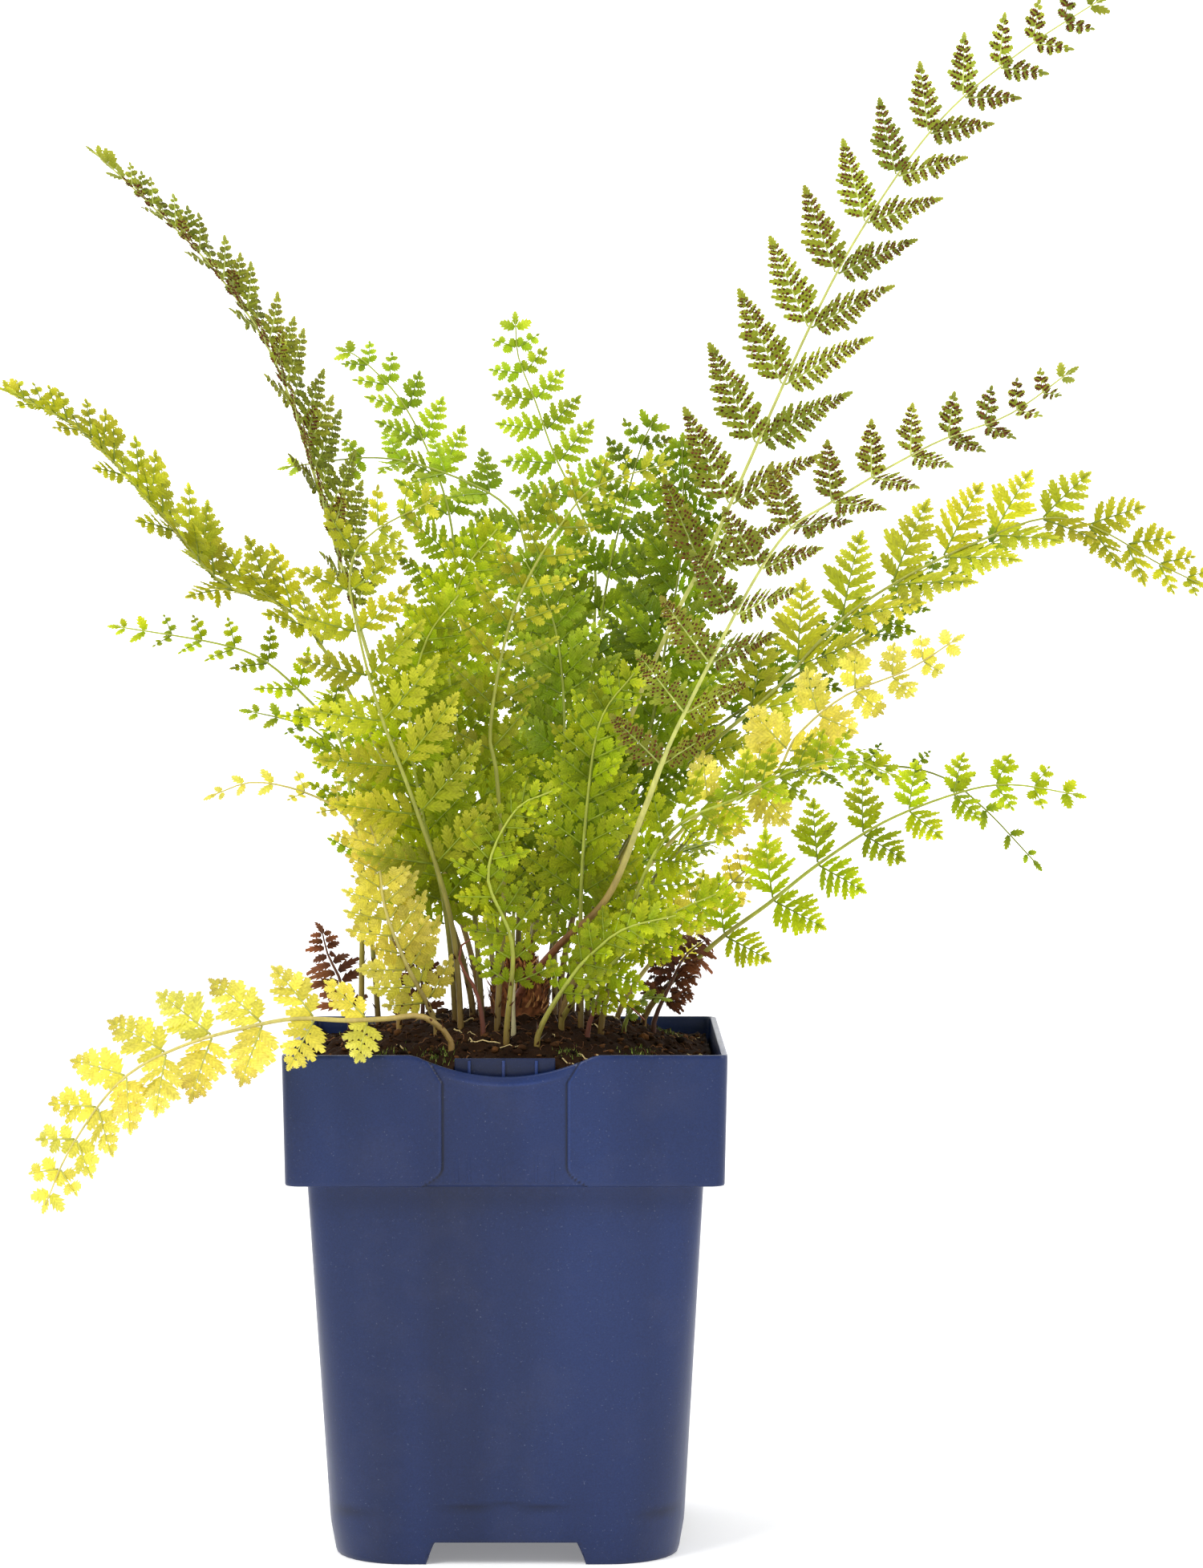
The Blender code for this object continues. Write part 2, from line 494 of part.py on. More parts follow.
def pair_spots(line, spec):
    """Where each pair of pinnae leaves the stem: start, end, share along the blade."""
    start, pairs = spec[1] * line.length, spec[2]
    spots = []
    rest = line.length - start
    place = [start + rest * (1 - (1 - i / pairs) ** 1.4) for i in range(pairs)] + [line.length]
    joined = spec[6] == 3
    for i in range(pairs):
        room = place[i + 1] - place[i]
        length = pinna_size(spec, i / pairs, room)[0]
        width = min(room, 0.75 * length) if joined else min(0.62 * room, 3.4, 0.7 * length)
        spots.append((place[i], place[i] + width, i / pairs, room))
    return spots


def pinna_size(spec, share, room):
    swell = min(1.0, (0.6 if spec[6] == 7 else 0.85) + 1.2 * share)
    fade = min(1.0, 1.08 * (1 - share) ** 0.72)
    length = max(spec[3] * swell * fade, 2.2)
    turn = math.sin(math.radians(spec[4]))
    return length, min(0.86 * room * turn, (0.26 if spec[6] == 4 else 0.32) * length + 1.4)


def pinna_outline(line, face, spec, spot, side, twist, shorter):
    """Outline points past the stem, in order from the lower root to the upper root."""
    s0, s1, share, room = spot
    along, across, up = line.frame((s0 + s1) / 2, face)
    length, width = pinna_size(spec, share, room)
    length *= shorter
    width *= min(1.0, shorter + 0.15)
    fold = math.radians(spec[5] + twist)
    lean = math.radians(spec[4])
    out = across * side * math.cos(fold) + up * math.sin(fold)
    way = along * math.cos(lean) + out * math.sin(lean)
    back = along * math.sin(lean) - out * math.cos(lean)
    root = line.at((s0 + s1) / 2) + across * side * stem_half(s0 / line.length)
    if spec[6] < 5 or length < SMALL_PINNA:
        plan = [(0.28, -0.5), (1.0, 0.0), (0.28, 0.5)]
    elif spec[6] == 5:
        plan = [(0.34, -0.5), (0.46, -0.26), (1.0, 0.0), (0.46, 0.26), (0.34, 0.5)]
    else:
        plan = [(0.3, -0.5), (0.38, -0.24), (0.62, -0.4), (1.0, 0.0), (0.62, 0.4), (0.38, 0.24), (0.3, 0.5)]
    droop = up * (-0.1 * length)
    plan = [(a, b * width) for a, b in plan]
    # the blade's edges keep outside the straight lines from the root's corners to the tip
    for place, s, turn in ((0, s0, -1), (-1, s1, 1)):
        corner = line.at(s) - line.at((s0 + s1) / 2)
        a, b = plan[place]
        straight = corner.dot(back) * (1 - a) * length / (length - corner.dot(way))
        plan[place] = (a, turn * max(turn * b, turn * straight + EDGE_OUT))
    return [root + way * (length * a) + back * b + droop * a * a for a, b in plan], up


def pinna_faces(n):
    """Triangles over lower root, outline and upper root, alike on both faces."""
    if n == 3:
        return [(0, 1, 2), (0, 2, 4), (4, 2, 3)]
    if n == 5:
        return [(0, 1, 2), (0, 2, 3), (0, 3, 6), (6, 3, 4), (6, 4, 5)]
    return [(0, 1, 2), (0, 2, 4), (2, 3, 4), (0, 4, 8), (8, 4, 6), (4, 5, 6), (8, 6, 7)]


def leaf_body(rim, up):
    """Closed thin body over a rim of points, each with half its thickness, for testing."""
    n = len(rim)
    points = [p + up * half for p, half in rim] + [p - up * half for p, half in rim]
    faces = [(0, i, i + 1) for i in range(1, n - 1)] + [(n, n + i + 1, n + i) for i in range(1, n - 1)]
    for i in range(n):
        j = (i + 1) % n
        faces += [(i, n + i, n + j), (i, n + j, j)]
    return bounds_of(points), BVHTree.FromPolygons(points, faces)


def leaf_bodies(outline, line, spot, up, grow):
    """The pinna from its root, and the same past the first third, each made larger by grow."""
    middle = sum(outline, Vector()) / len(outline)
    half = BLADE / 2 + grow
    wide = [(p + (p - middle).normalized() * grow, half) for p in outline]
    root = line.at((spot[0] + spot[1]) / 2)
    thick = stem_half(spot[0] / line.length) + grow
    first, last = line.at(spot[0]), line.at(spot[1])
    along = (last - first).normalized() * grow
    whole = leaf_body([(first - along, thick)] + wide + [(last + along, thick)], up)
    return whole, leaf_body([(root.lerp(middle, 0.35), half)] + wide, up)


def bounds_of(points):
    return [min(p[i] for p in points) for i in range(3)] + [max(p[i] for p in points) for i in range(3)]


def near(a, b):
    return all(a[i] <= b[i + 3] and b[i] <= a[i + 3] for i in range(3))


def stem_body(line, face):
    steps = max(4, int(line.length / 6))
    points = []
    faces = []
    for k in range(steps + 1):
        points += station(line, line.length * k / steps, face)
        if k:
            for i in range(4):
                j = (i + 1) % 4
                a = 4 * k - 4
                faces += [(a + i, a + j, a + 4 + j), (a + i, a + 4 + j, a + 4 + i)]
    return points, faces


# Fronds
def choose_pinnae(lines, solids):
    """For each pinna the first twist and length that keep clear of all the rest."""
    blocks = []
    for points, faces in solids:
        block = (bounds_of(points), BVHTree.FromPolygons(points, faces))
        blocks.append((None, block, block))
    for name, (line, face, spec) in lines.items():
        points, faces = stem_body(line, face)
        blocks.append((name, (bounds_of(points), BVHTree.FromPolygons(points, faces)), None))
    chosen = {}
    for name, (line, face, spec) in lines.items():
        for number, spot in enumerate(pair_spots(line, spec)):
            for side in (1, -1):
                pick = None
                for shorter, twist in itertools.product(SHORTER, TWISTS):
                    outline, up = pinna_outline(line, face, spec, spot, side, twist, shorter)
                    whole, outer = leaf_bodies(outline, line, spot, up, CLEAR)
                    if not any(hits(name, whole, outer, block) for block in blocks):
                        pick = outline
                        break
                chosen[name, number, side] = pick
                if pick:
                    whole, outer = leaf_bodies(pick, line, spot, up, 0.0)
                    blocks.append((name, whole, outer))
    return chosen


def hits(name, whole, outer, block):
    """A pinna is tested past its first third against its own frond, and whole against others."""
    mine, theirs = (outer, block[2]) if block[0] == name else (whole, block[1])
    return theirs is not None and near(mine[0], theirs[0]) and bool(mine[1].overlap(theirs[1]))


def build_frond(name, line, face, spec, chosen, mat):
    spots = pair_spots(line, spec) if spec[2] else []
    marks = [0.0, STEM_DEPTH + 1.5]
    end = spots[0][0] if spots else line.length
    count = max(2, int((end - marks[1]) / (22 if spots else 5)))
    marks += [marks[1] + (end - marks[1]) * k / count for k in range(1, count)]
    owner = [None] * (len(marks) - 1)
    for number, spot in enumerate(spots):
        if spot[0] - marks[-1] > 0.01:
            marks.append(spot[0])
            owner.append(None)
        marks.append(spot[1])
        owner.append(number)
    if line.length - marks[-1] > 0.01:
        marks.append(line.length)
        owner.append(None)
    points = []
    faces = []
    for s in marks:
        points += station(line, s, face)
    last = len(marks) - 1
    for k in range(last):
        a, b = 4 * k, 4 * k + 4
        faces += [(a + 1, a, b), (a + 1, b, b + 1), (a + 3, a + 2, b + 2), (a + 3, b + 2, b + 3)]
        for side in (1, -1):
            top0, low0 = (a, a + 3) if side == 1 else (a + 1, a + 2)
            top1, low1 = (b, b + 3) if side == 1 else (b + 1, b + 2)
            outline = chosen.get((name, owner[k], side)) if owner[k] is not None else None
            if outline is None:
                patch = [(low0, low1, top1), (low0, top1, top0)]
            else:
                up = line.frame((marks[k] + marks[k + 1]) / 2, face)[2]
                plan = leaf_normal(outline, points[top0], points[top1], up)
                first = len(points)
                n = len(outline)
                points += [p + plan * (BLADE / 2) for p in outline]
                points += [p - plan * (BLADE / 2) for p in outline]
                upper = [top0] + list(range(first, first + n)) + [top1]
                lower = [low0] + list(range(first + n, first + 2 * n)) + [low1]
                patch = []
                for x, y, z in pinna_faces(n):
                    patch.append((upper[x], upper[y], upper[z]))
                    patch.append((lower[x], lower[z], lower[y]))
                for i in range(n + 1):
                    patch += [(lower[i], lower[i + 1], upper[i + 1]), (lower[i], upper[i + 1], upper[i])]
            faces += [f if side == 1 else tuple(reversed(f)) for f in patch]
    faces += [(0, 1, 2), (0, 2, 3)]
    a = 4 * last
    faces += [(a + 2, a + 1, a), (a + 3, a + 2, a)]
    return make_object(name, points, faces, mat)


def leaf_normal(outline, a, b, up):
    tip = outline[len(outline) // 2]
    across = outline[-1] - outline[0]
    normal = across.cross(tip - (a + b) / 2).normalized()
    return normal if normal.dot(up) > 0 else -normal


def hole_of(line, face):
    """Room for the root of a stem, in the soil."""
    along, across, up = line.frame(STEM_DEPTH / 2, face)
    half = stem_half(0) + FIT
    middle = line.at(0)
    rings = []
    for z in (-FIT, STEM_DEPTH + 12):
        rings.append([middle + across * sx * half + up * sy * half + Vector((0, 0, z))
                      for sx, sy in ((1, 1), (1, -1), (-1, -1), (-1, 1))])
    return rings


def main():
    clear_scene()
    mats = {name: make_material(name) for name in COLOURS}
    lines = {}
    for name, spec in FRONDS.items():
        lines[name] = (Line(stem_line(spec[8])), Vector(spec[7]).normalized(), spec)
    holes = [hole_of(line, face) for line, face, _ in lines.values()]
    pot = build_pot(mats["pot"])
    soil = build_soil(mats["soil"], holes)
    crown = build_crown(mats["crown"])
    solids = []
    for obj in (pot, soil, crown):
        mesh = obj.data
        mesh.calc_loop_triangles()
        points = [v.co / MM for v in mesh.vertices]
        solids.append((points, [tuple(t.vertices) for t in mesh.loop_triangles]))
    chosen = choose_pinnae(lines, solids)
    for name, (line, face, spec) in lines.items():
        build_frond(name, line, face, spec, chosen, mats[spec[0]])
    for name in ("pot", "crown"):
        for poly in bpy.data.objects[name].data.polygons:
            poly.use_smooth = name == "crown"


main()
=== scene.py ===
import bpy
import itertools
import math
import random
from collections import namedtuple
import numpy as np
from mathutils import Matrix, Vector, noise
from mathutils.kdtree import KDTree


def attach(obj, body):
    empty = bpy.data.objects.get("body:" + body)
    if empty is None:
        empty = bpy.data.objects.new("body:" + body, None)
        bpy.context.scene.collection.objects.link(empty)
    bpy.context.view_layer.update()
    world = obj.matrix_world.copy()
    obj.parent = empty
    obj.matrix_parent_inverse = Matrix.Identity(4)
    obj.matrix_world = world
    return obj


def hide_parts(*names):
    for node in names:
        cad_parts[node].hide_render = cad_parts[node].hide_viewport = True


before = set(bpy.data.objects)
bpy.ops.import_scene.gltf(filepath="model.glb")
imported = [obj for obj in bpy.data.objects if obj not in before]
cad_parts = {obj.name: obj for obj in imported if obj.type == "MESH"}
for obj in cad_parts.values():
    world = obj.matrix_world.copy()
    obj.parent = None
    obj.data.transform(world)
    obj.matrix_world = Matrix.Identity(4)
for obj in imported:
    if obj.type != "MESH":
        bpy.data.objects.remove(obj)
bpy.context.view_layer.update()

# Looks of the potted lady fern. Sizes in millimetres, written to the scene in metres.
MM = 0.001

# Pot, as in the part
POT_HEIGHT = 152.0
COLLAR_HALF = 65.0
COLLAR_LOW = 113.5
COLLAR_WALL = 1.8
COLLAR_DRAFT = 0.8
BODY_TOP_HALF = 58.2
BODY_LOW_HALF = 53.0
FOOT_HALF = 51.3
FOOT_CHAMFER = 10.0
WALL = 1.6
FLOOR_UNDER = 7.4
FLOOR_TOP = 9.2
NOTCH_HALF = 22.5
NOTCH_HEIGHT = 6.8
RECESS_HALF = 18.3
RECESS_DEPTH = 0.8
RIM_DIP_HALF = 26.5
RIM_DIP = 6.4
POCKET_GAP = 3.4
POCKET_HALF = 14.7
POCKET_WALL = 1.4
RIB_SPOTS = (-10.4, -0.4, 9.2)
SEAM_Z = 18.5
DRAIN_HALF = 3.4
DRAIN_SPOTS = ((28, 24), (-28, 24), (28, -24), (-28, -24), (36, 1), (-36, 1))

# Pot, finer than in the part
COLLAR_RADIUS = 3.5
CORNER_LOW = 22.0
CORNER_TOP = 5.0
CORNER_STEPS = 8
COLLAR_ROWS = 52
SIDE_REACH = 61.5
RIM_BEND = 10.0
PANEL_STEP = 0.7
PANEL_LEAN = 0.8
PANEL_CORNER_OUT = 5.2
PANEL_CORNER_RISE = 6.0
PANEL_TOP_OUT = 6.0
LIP_BELOW_RIM = 3.0
LIP_OUT = 0.35
SEAM_ARCH = 3.2
SEAM_REACH = 46.0
SEAM_DEPTH = 0.2
# Strength of the pot's painted shade lines and painted highlight lines
PAINTED_SHADING_STRENGTH = 0.8
EDGE_BAND = (14.5, 25.5)
FRONT_Y = -55

# Soil and crown, as in the part
SOIL_EDGE = 147.0
SOIL_RISE = 12.5
SOIL_REACH = 64.0
SOIL_HALF = 62.0
GROUND_HALF = SOIL_HALF - 0.6
STEM_DEPTH = 6.0
CROWN_AT = (3.0, -5.0)
CROWN_HALF = (8.6, 7.4)
CROWN_TOP = 178.0

# Fronds, as in the part
BLADE = 0.66
STEM_HALF = 1.15
TIP_HALF = 0.42
SMALL_PINNA = 9.0
EDGE_OUT = 0.08
TWISTS = (0, 12, -12, 24, -24, 38, -38, 55, -55)
SHORTER = (1.0, 0.82, 0.64, 0.46)
SAME_POINT = 0.03

# Fronds with more or fewer pinnae than their cut gives, and how much fuller than their kind some are
DENSE = ("frond_tall_left",)
OPEN = ("frond_yellow_centre", "frond_dark_upright", "frond_thin_right", "frond_left_small",
        "frond_left_brown")
FULL = {"frond_pale_left": 1.35, "frond_yellow_right": 1.5, "frond_gold_right": 1.3,
        "frond_droop_right": 1.35, "frond_top_centre": 1.4, "frond_fine_left": 1.3,
        "frond_across_left": 1.3, "frond_tall_right": 1.1, "frond_front_right": 1.15,
        "frond_yellow_centre": 0.7}
BETWEEN_TURN = 26
BETWEEN_LENGTH = 0.86

# Leaves: a pinna shorter than WHOLE_PINNA is one toothed leaf
WHOLE_PINNA = 6.5
RIB_HALF = 0.34
PINNULE_FILL = 0.5
PINNULE_REACH = 1.24
LEAF_BOW = 0.16
SORUS_SPOTS = ((0.22, 0.44), (0.24, -0.44), (0.44, 0.46), (0.46, -0.44), (0.64, 0.36), (0.66, -0.34))
SORUS_MISSING = 0.22
SORUS_LONG = 1.35
END_LEAF = (4.2, 1.3)
STEM_SCALES = 9
# Painted shade inside the tuft: its reach from the crown, the top of its fade, and the least brightness
# deep inside
TUFT_REACH = 60.0
TUFT_TOP = 290.0
INNER_SHADE = 0.45

# Soil
SOIL_GRID = 150
CLODS = 1500
FIBRES = 420
SOIL_GAP = 0.35
CROWN_SCALES = 520
MOSS = ((-38, -44, 7, 130), (40, -40, 6, 110), (48, 6, 6, 90), (-50, 14, 5, 80),
        (18, -48, 4, 60), (-20, -50, 5, 70), (30, 44, 7, 90), (-30, 46, 6, 80))

# Camera of the photo: focal length and frame height in its pixels
FOCAL_PX = 5163.6
FRAME_PX = 1955
SENSOR = 36.0
CAMERA_AT = (0.0282, -1.265, 0.2698)
CAMERA_DOWN = 0.0324

# Floor and wall of the stage, in metres
STAGE_REACH = 9.0
WALL_Y = 2.4

# Each frond: colour kind, first pair as a share of its length, pairs, longest pinna, pinna angle,
# fold, cut of the part's pinnae (3 joined at the root, 4 slim and apart, 5 lobed, 7 twice lobed),
# upper face, then the line of the stem from the soil to the tip
Frond = namedtuple("Frond", "kind start pairs longest angle fold cut face spots")
FRONDS = {
    "frond_tall_right": ("fertile", 0.42, 14, 35, 49, 22, 4, (-0.4, 0.9, 0.1), [
        (15, 3), (19, 0, 186), (31, -8, 233), (48, -18, 275), (62, -26, 303),
        (91, -44, 368), (109, -52, 400), (128, -58, 425), (150, -62, 443), (172, -66, 457)]),
    "frond_front_right": ("fertile", 0.38, 14, 28, 62, 20, 4, (-0.5, 0.75, 0.45), [
        (1, -20), (14, -31, 180), (30, -46, 197), (41, -58, 224), (51, -66, 249),
        (77, -78, 298), (94, -84, 312), (122, -90, 328), (143, -95, 336), (160, -98, 348)]),
    "frond_gold_right": ("gold", 0.34, 12, 37, 42, 20, 7, (-0.35, -0.75, 0.6), [
        (19, 10), (28, 9, 193), (44, 8, 222), (61, 8, 240), (81, 8, 257),
        (102, 8, 279), (123, 6, 293), (146, 4, 304), (164, 2, 310), (179, 0, 307), (198, -2, 296),
        (210, -4, 290)]),
    "frond_tall_left": ("fertile", 0.45, 15, 24, 48, 40, 4, (0.75, -0.4, 0.5), [
        (-9, 8), (-17, 8, 193), (-29, 8, 223), (-43, 6, 267), (-55, 2, 308),
        (-66, 0, 344), (-75, -4, 365), (-91, -8, 387), (-111, -10, 407), (-125, -12, 420)]),
    "frond_gold_left": ("gold", 0.48, 13, 26, 52, 30, 3, (0.5, -0.4, 0.8), [
        (-11, -8), (-20, -10, 194), (-40, -12, 241), (-57, -14, 272), (-68, -16, 283),
        (-86, -20, 290), (-100, -24, 306), (-113, -28, 321), (-128, -32, 336), (-149, -36, 347)]),
    "frond_pale_left": ("pale", 0.24, 10, 28, 60, 8, 7, (-0.15, -0.8, 0.6), [
        (-16, -46), (-24, -51, 162), (-34, -57, 162), (-45, -63, 162), (-58, -68, 163),
        (-69, -72, 162), (-92, -76, 156), (-110, -80, 146), (-124, -82, 127), (-131, -84, 111)]),
    "frond_droop_right": ("lime", 0.26, 9, 24, 66, 12, 5, (-0.1, -0.75, 0.65), [
        (41, 8), (61, 4, 178), (79, 0, 192), (95, -4, 205), (115, -8, 218),
        (138, -12, 227), (153, -14, 229), (172, -16, 226)]),
    "frond_yellow_right": ("pale", 0.48, 8, 20, 68, 14, 5, (-0.2, -0.8, 0.5), [
        (16, -14), (35, -20, 195), (59, -28, 222), (79, -34, 232), (86, -36, 244),
        (100, -38, 256), (119, -40, 264), (133, -42, 273)]),
    "frond_yellow_left": ("gold", 0.3, 11, 29, 60, 16, 5, (0.1, -0.9, 0.35), [
        (-14, -27), (-17, -33, 191), (-27, -42, 224), (-37, -50, 252), (-43, -56, 276),
        (-45, -60, 292), (-39, -64, 303), (-20, -72, 313)]),
    "frond_top_centre": ("green", 0.5, 11, 25, 64, 8, 4, (0.0, -0.95, 0.25), [
        (4, 22), (13, 28, 210), (24, 34, 260), (26, 38, 298), (19, 40, 319),
        (13, 42, 332), (7, 44, 349), (2, 45, 362), (1, 46, 374)]),
    "frond_fine_left": ("green", 0.45, 11, 27, 50, 12, 4, (0.35, -0.8, 0.4), [
        (-3, 20), (-7, 24, 210), (-13, 28, 260), (-17, 30, 290), (-19, 32, 310),
        (-24, 32, 327), (-34, 34, 347), (-46, 36, 360), (-53, 38, 364)]),
    "frond_yellow_centre": ("gold", 0.42, 12, 20, 54, 22, 3, (0.2, -0.85, 0.4), [
        (-3, -29), (-1, -29, 195), (-3, -31, 232), (-5, -32, 245), (-1, -36, 270),
        (6, -40, 290), (21, -46, 313), (30, -50, 319), (47, -56, 324)]),
    "frond_dark_upright": ("deep", 0.34, 11, 31, 56, 14, 3, (-0.2, -0.9, 0.3), [
        (11, 14), (20, 16, 223), (26, 18, 265), (30, 18, 291), (34, 16, 309),
        (40, 14, 331), (44, 12, 340)]),
    "frond_across_left": ("green", 0.5, 9, 22, 58, 15, 4, (0.1, -0.6, 0.8), [
        (2, 12), (4, 16, 223), (6, 18, 272), (5, 17, 300), (-2, 16, 315),
        (-22, 16, 325), (-42, 14, 329), (-69, 12, 326)]),
    "frond_dark_right": ("deep", 0.4, 10, 19, 60, 20, 3, (-0.3, -0.7, 0.6), [
        (16, 20), (36, 26, 210), (58, 30, 240), (83, 32, 258), (106, 34, 272),
        (128, 34, 288), (150, 32, 303), (161, 30, 307)]),
    "frond_inner_tall": ("deep", 0.34, 11, 30, 54, 16, 3, (-0.3, -0.9, 0.3), [
        (24, 3), (31, 4, 204), (42, 4, 240), (48, 6, 272), (53, 8, 302), (53, 10, 334)]),
    "frond_inner_mid": ("green", 0.2, 11, 30, 58, 14, 3, (0.0, -0.95, 0.25), [
        (14, -6), (14, -8, 204), (17, -9, 243), (14, -8, 277), (4, -8, 299)]),
    "frond_inner_left": ("lime", 0.2, 11, 28, 58, 14, 3, (0.2, -0.95, 0.25), [
        (-8, -17), (-11, -16, 200), (-14, -18, 236), (-18, -20, 267), (-14, -22, 291),
        (-3, -24, 306)]),
    "frond_bright_right": ("lime", 0.26, 9, 22, 62, 12, 3, (-0.1, -0.6, 0.8), [
        (28, -24), (36, -30, 189), (45, -36, 211), (54, -42, 220), (68, -46, 226),
        (86, -50, 235), (100, -53, 238), (114, -56, 233)]),
    "frond_left_mid": ("lime", 0.42, 10, 18, 60, 16, 4, (0.2, -0.7, 0.7), [
        (-45, -6), (-45, -4, 197), (-48, -2, 223), (-52, 0, 243), (-63, 2, 256),
        (-76, 4, 267), (-91, 6, 272), (-121, 8, 277)]),
    "frond_low_mid": ("lime", 0.2, 8, 24, 58, 16, 3, (-0.1, -0.9, 0.4), [
        (22, -22), (22, -24, 194), (24, -28, 225), (28, -32, 249), (38, -36, 263)]),
    "frond_low_inner": ("lime", 0.2, 10, 26, 58, 16, 3, (0.2, -0.9, 0.4), [
        (-16, -17), (-19, -22, 193), (-25, -28, 220), (-29, -32, 248), (-24, -36, 272),
        (-14, -40, 286)]),
    "frond_low_left": ("pale", 0.14, 8, 18, 58, 16, 3, (0.2, -0.9, 0.4), [
        (-21, -30), (-30, -38, 177), (-36, -42, 194), (-38, -44, 211), (-43, -46, 226)]),
    "frond_low_right": ("lime", 0.2, 7, 20, 58, 14, 3, (-0.3, -0.8, 0.5), [
        (16, -26), (31, -36, 176), (46, -42, 190), (62, -48, 198)]),
    "frond_front_low": ("lime", 0.2, 7, 17, 58, 14, 3, (0.1, -0.75, 0.65), [
        (0, -42), (2, -50, 183), (-5, -58, 204), (3, -64, 223), (14, -70, 229)]),
    "frond_front_small": ("lime", 0.3, 6, 13, 58, 12, 3, (-0.2, -0.8, 0.5), [
        (9, -44), (19, -48, 173), (26, -50, 181), (35, -52, 188), (50, -54, 192)]),
    "frond_thin_right": ("deep", 0.5, 8, 12, 58, 14, 4, (-0.1, -0.7, 0.7), [
        (21, 26), (48, 34, 202), (79, 40, 228), (115, 44, 233), (135, 46, 230),
        (149, 46, 220), (166, 44, 202)]),
    "frond_left_small": ("green", 0.45, 7, 13, 58, 14, 3, (0.1, -0.7, 0.7), [
        (-41, 14), (-45, 14, 198), (-51, 12, 233), (-59, 12, 244), (-68, 12, 248),
        (-81, 12, 251)]),
    "frond_left_brown": ("pale", 0.4, 7, 11, 58, 14, 3, (0.1, -0.6, 0.8), [
        (-33, -14), (-37, -16, 192), (-47, -16, 217), (-59, -18, 226), (-76, -20, 230),
        (-89, -22, 226)]),
    "frond_pale_back": ("pale", 0.3, 6, 15, 60, 14, 3, (-0.3, -0.7, 0.6), [
        (33, 30), (53, 36, 182), (69, 40, 196), (83, 44, 209)]),
    "frond_back_left": ("green", 0.26, 8, 27, 58, 12, 3, (0.1, -0.3, 0.95), [
        (-5, 32), (-13, 60, 221), (-22, 88, 259), (-31, 115, 281)]),
    "frond_back_tall": ("green", 0.26, 8, 28, 58, 12, 3, (0.0, -0.3, 0.95), [
        (5, 36), (10, 66, 221), (15, 98, 259), (17, 130, 283)]),
    "frond_back_right": ("deep", 0.26, 8, 26, 58, 12, 3, (-0.2, -0.3, 0.95), [
        (16, 34), (36, 60, 216), (54, 86, 252), (71, 112, 273)]),
    "frond_back_wide": ("lime", 0.26, 8, 26, 58, 12, 3, (0.3, -0.3, 0.9), [
        (-12, 26), (-30, 49, 209), (-48, 73, 240), (-61, 95, 256)]),
    "frond_back_low": ("gold", 0.24, 8, 22, 60, 10, 3, (0.0, 0.1, 1.0), [
        (0, 46), (0, 72, 189), (2, 98, 201), (0, 122, 199)]),
    "frond_back_side": ("lime", 0.24, 8, 21, 60, 10, 3, (-0.1, 0.0, 1.0), [
        (26, 38), (41, 62, 190), (54, 86, 204), (65, 108, 206)]),
    "dead_right": ("dead", 0.3, 6, 9, 70, 30, 3, (-0.3, -0.9, 0.2), [
        (44, -3), (49, -2, 167), (54, 4, 176), (61, 8, 181)]),
    "dead_left": ("dead", 0.3, 5, 7, 70, 30, 3, (0.3, -0.9, 0.2), [
        (-49, 4), (-52, 5, 168), (-56, 7, 176), (-58, 8, 184)]),
    "dead_centre": ("dead", 0.3, 4, 6, 70, 30, 3, (0.2, -0.9, 0.2), [
        (-26, -14), (-26, -14, 168), (-28, -15, 175), (-32, -16, 180)]),
    "weed_right": ("green", 0.4, 3, 5, 60, 10, 3, (0.0, -0.5, 0.9), [
        (35, -16), (38, -18, 162), (42, -20, 165), (47, -22, 165)]),
    "stalk_curled_left": ("stalk", 1.0, 0, 0, 0, 0, 3, (0.0, -1.0, 0.1), [
        (-7, -35), (-9, -35, 168), (-14, -36, 177), (-12, -37, 184), (-6, -37, 183)]),
    "stalk_curled_right": ("stalk", 1.0, 0, 0, 0, 0, 3, (0.0, -1.0, 0.1), [
        (24, -34), (28, -35, 165), (35, -37, 165), (41, -39, 160)]),
    "stalk_cut": ("straw", 1.0, 0, 0, 0, 0, 3, (0.0, -1.0, 0.1), [
        (2, -35), (2, -35, 164), (2.5, -35, 172)]),
}


def tone(red, green, blue):
    """A screen colour of 0 to 255 as linear light."""
    return np.array([(c / 255 / 12.92) if c < 10 else ((c / 255 + 0.055) / 1.055) ** 2.4
                     for c in (red, green, blue)])


class Look:
    """Colours and cut of one kind of frond: spacing, width and angle of its pinnules, share of browned
    tips, curl, whether it bears spores, and how much its pinnae vary in shade."""
    def __init__(self, root, tip, rib, stem_low, stem_high, spacing, slender, lean, brown=0.0, curl=0.12,
                 sori=False, vary=0.32):
        self.root, self.tip, self.rib = tone(*root), tone(*tip), tone(*rib)
        self.stem_low, self.stem_high = tone(*stem_low), tone(*stem_high)
        self.spacing, self.slender, self.lean = spacing, slender, lean
        self.brown, self.curl = brown, curl
        self.sori, self.vary = sori, vary


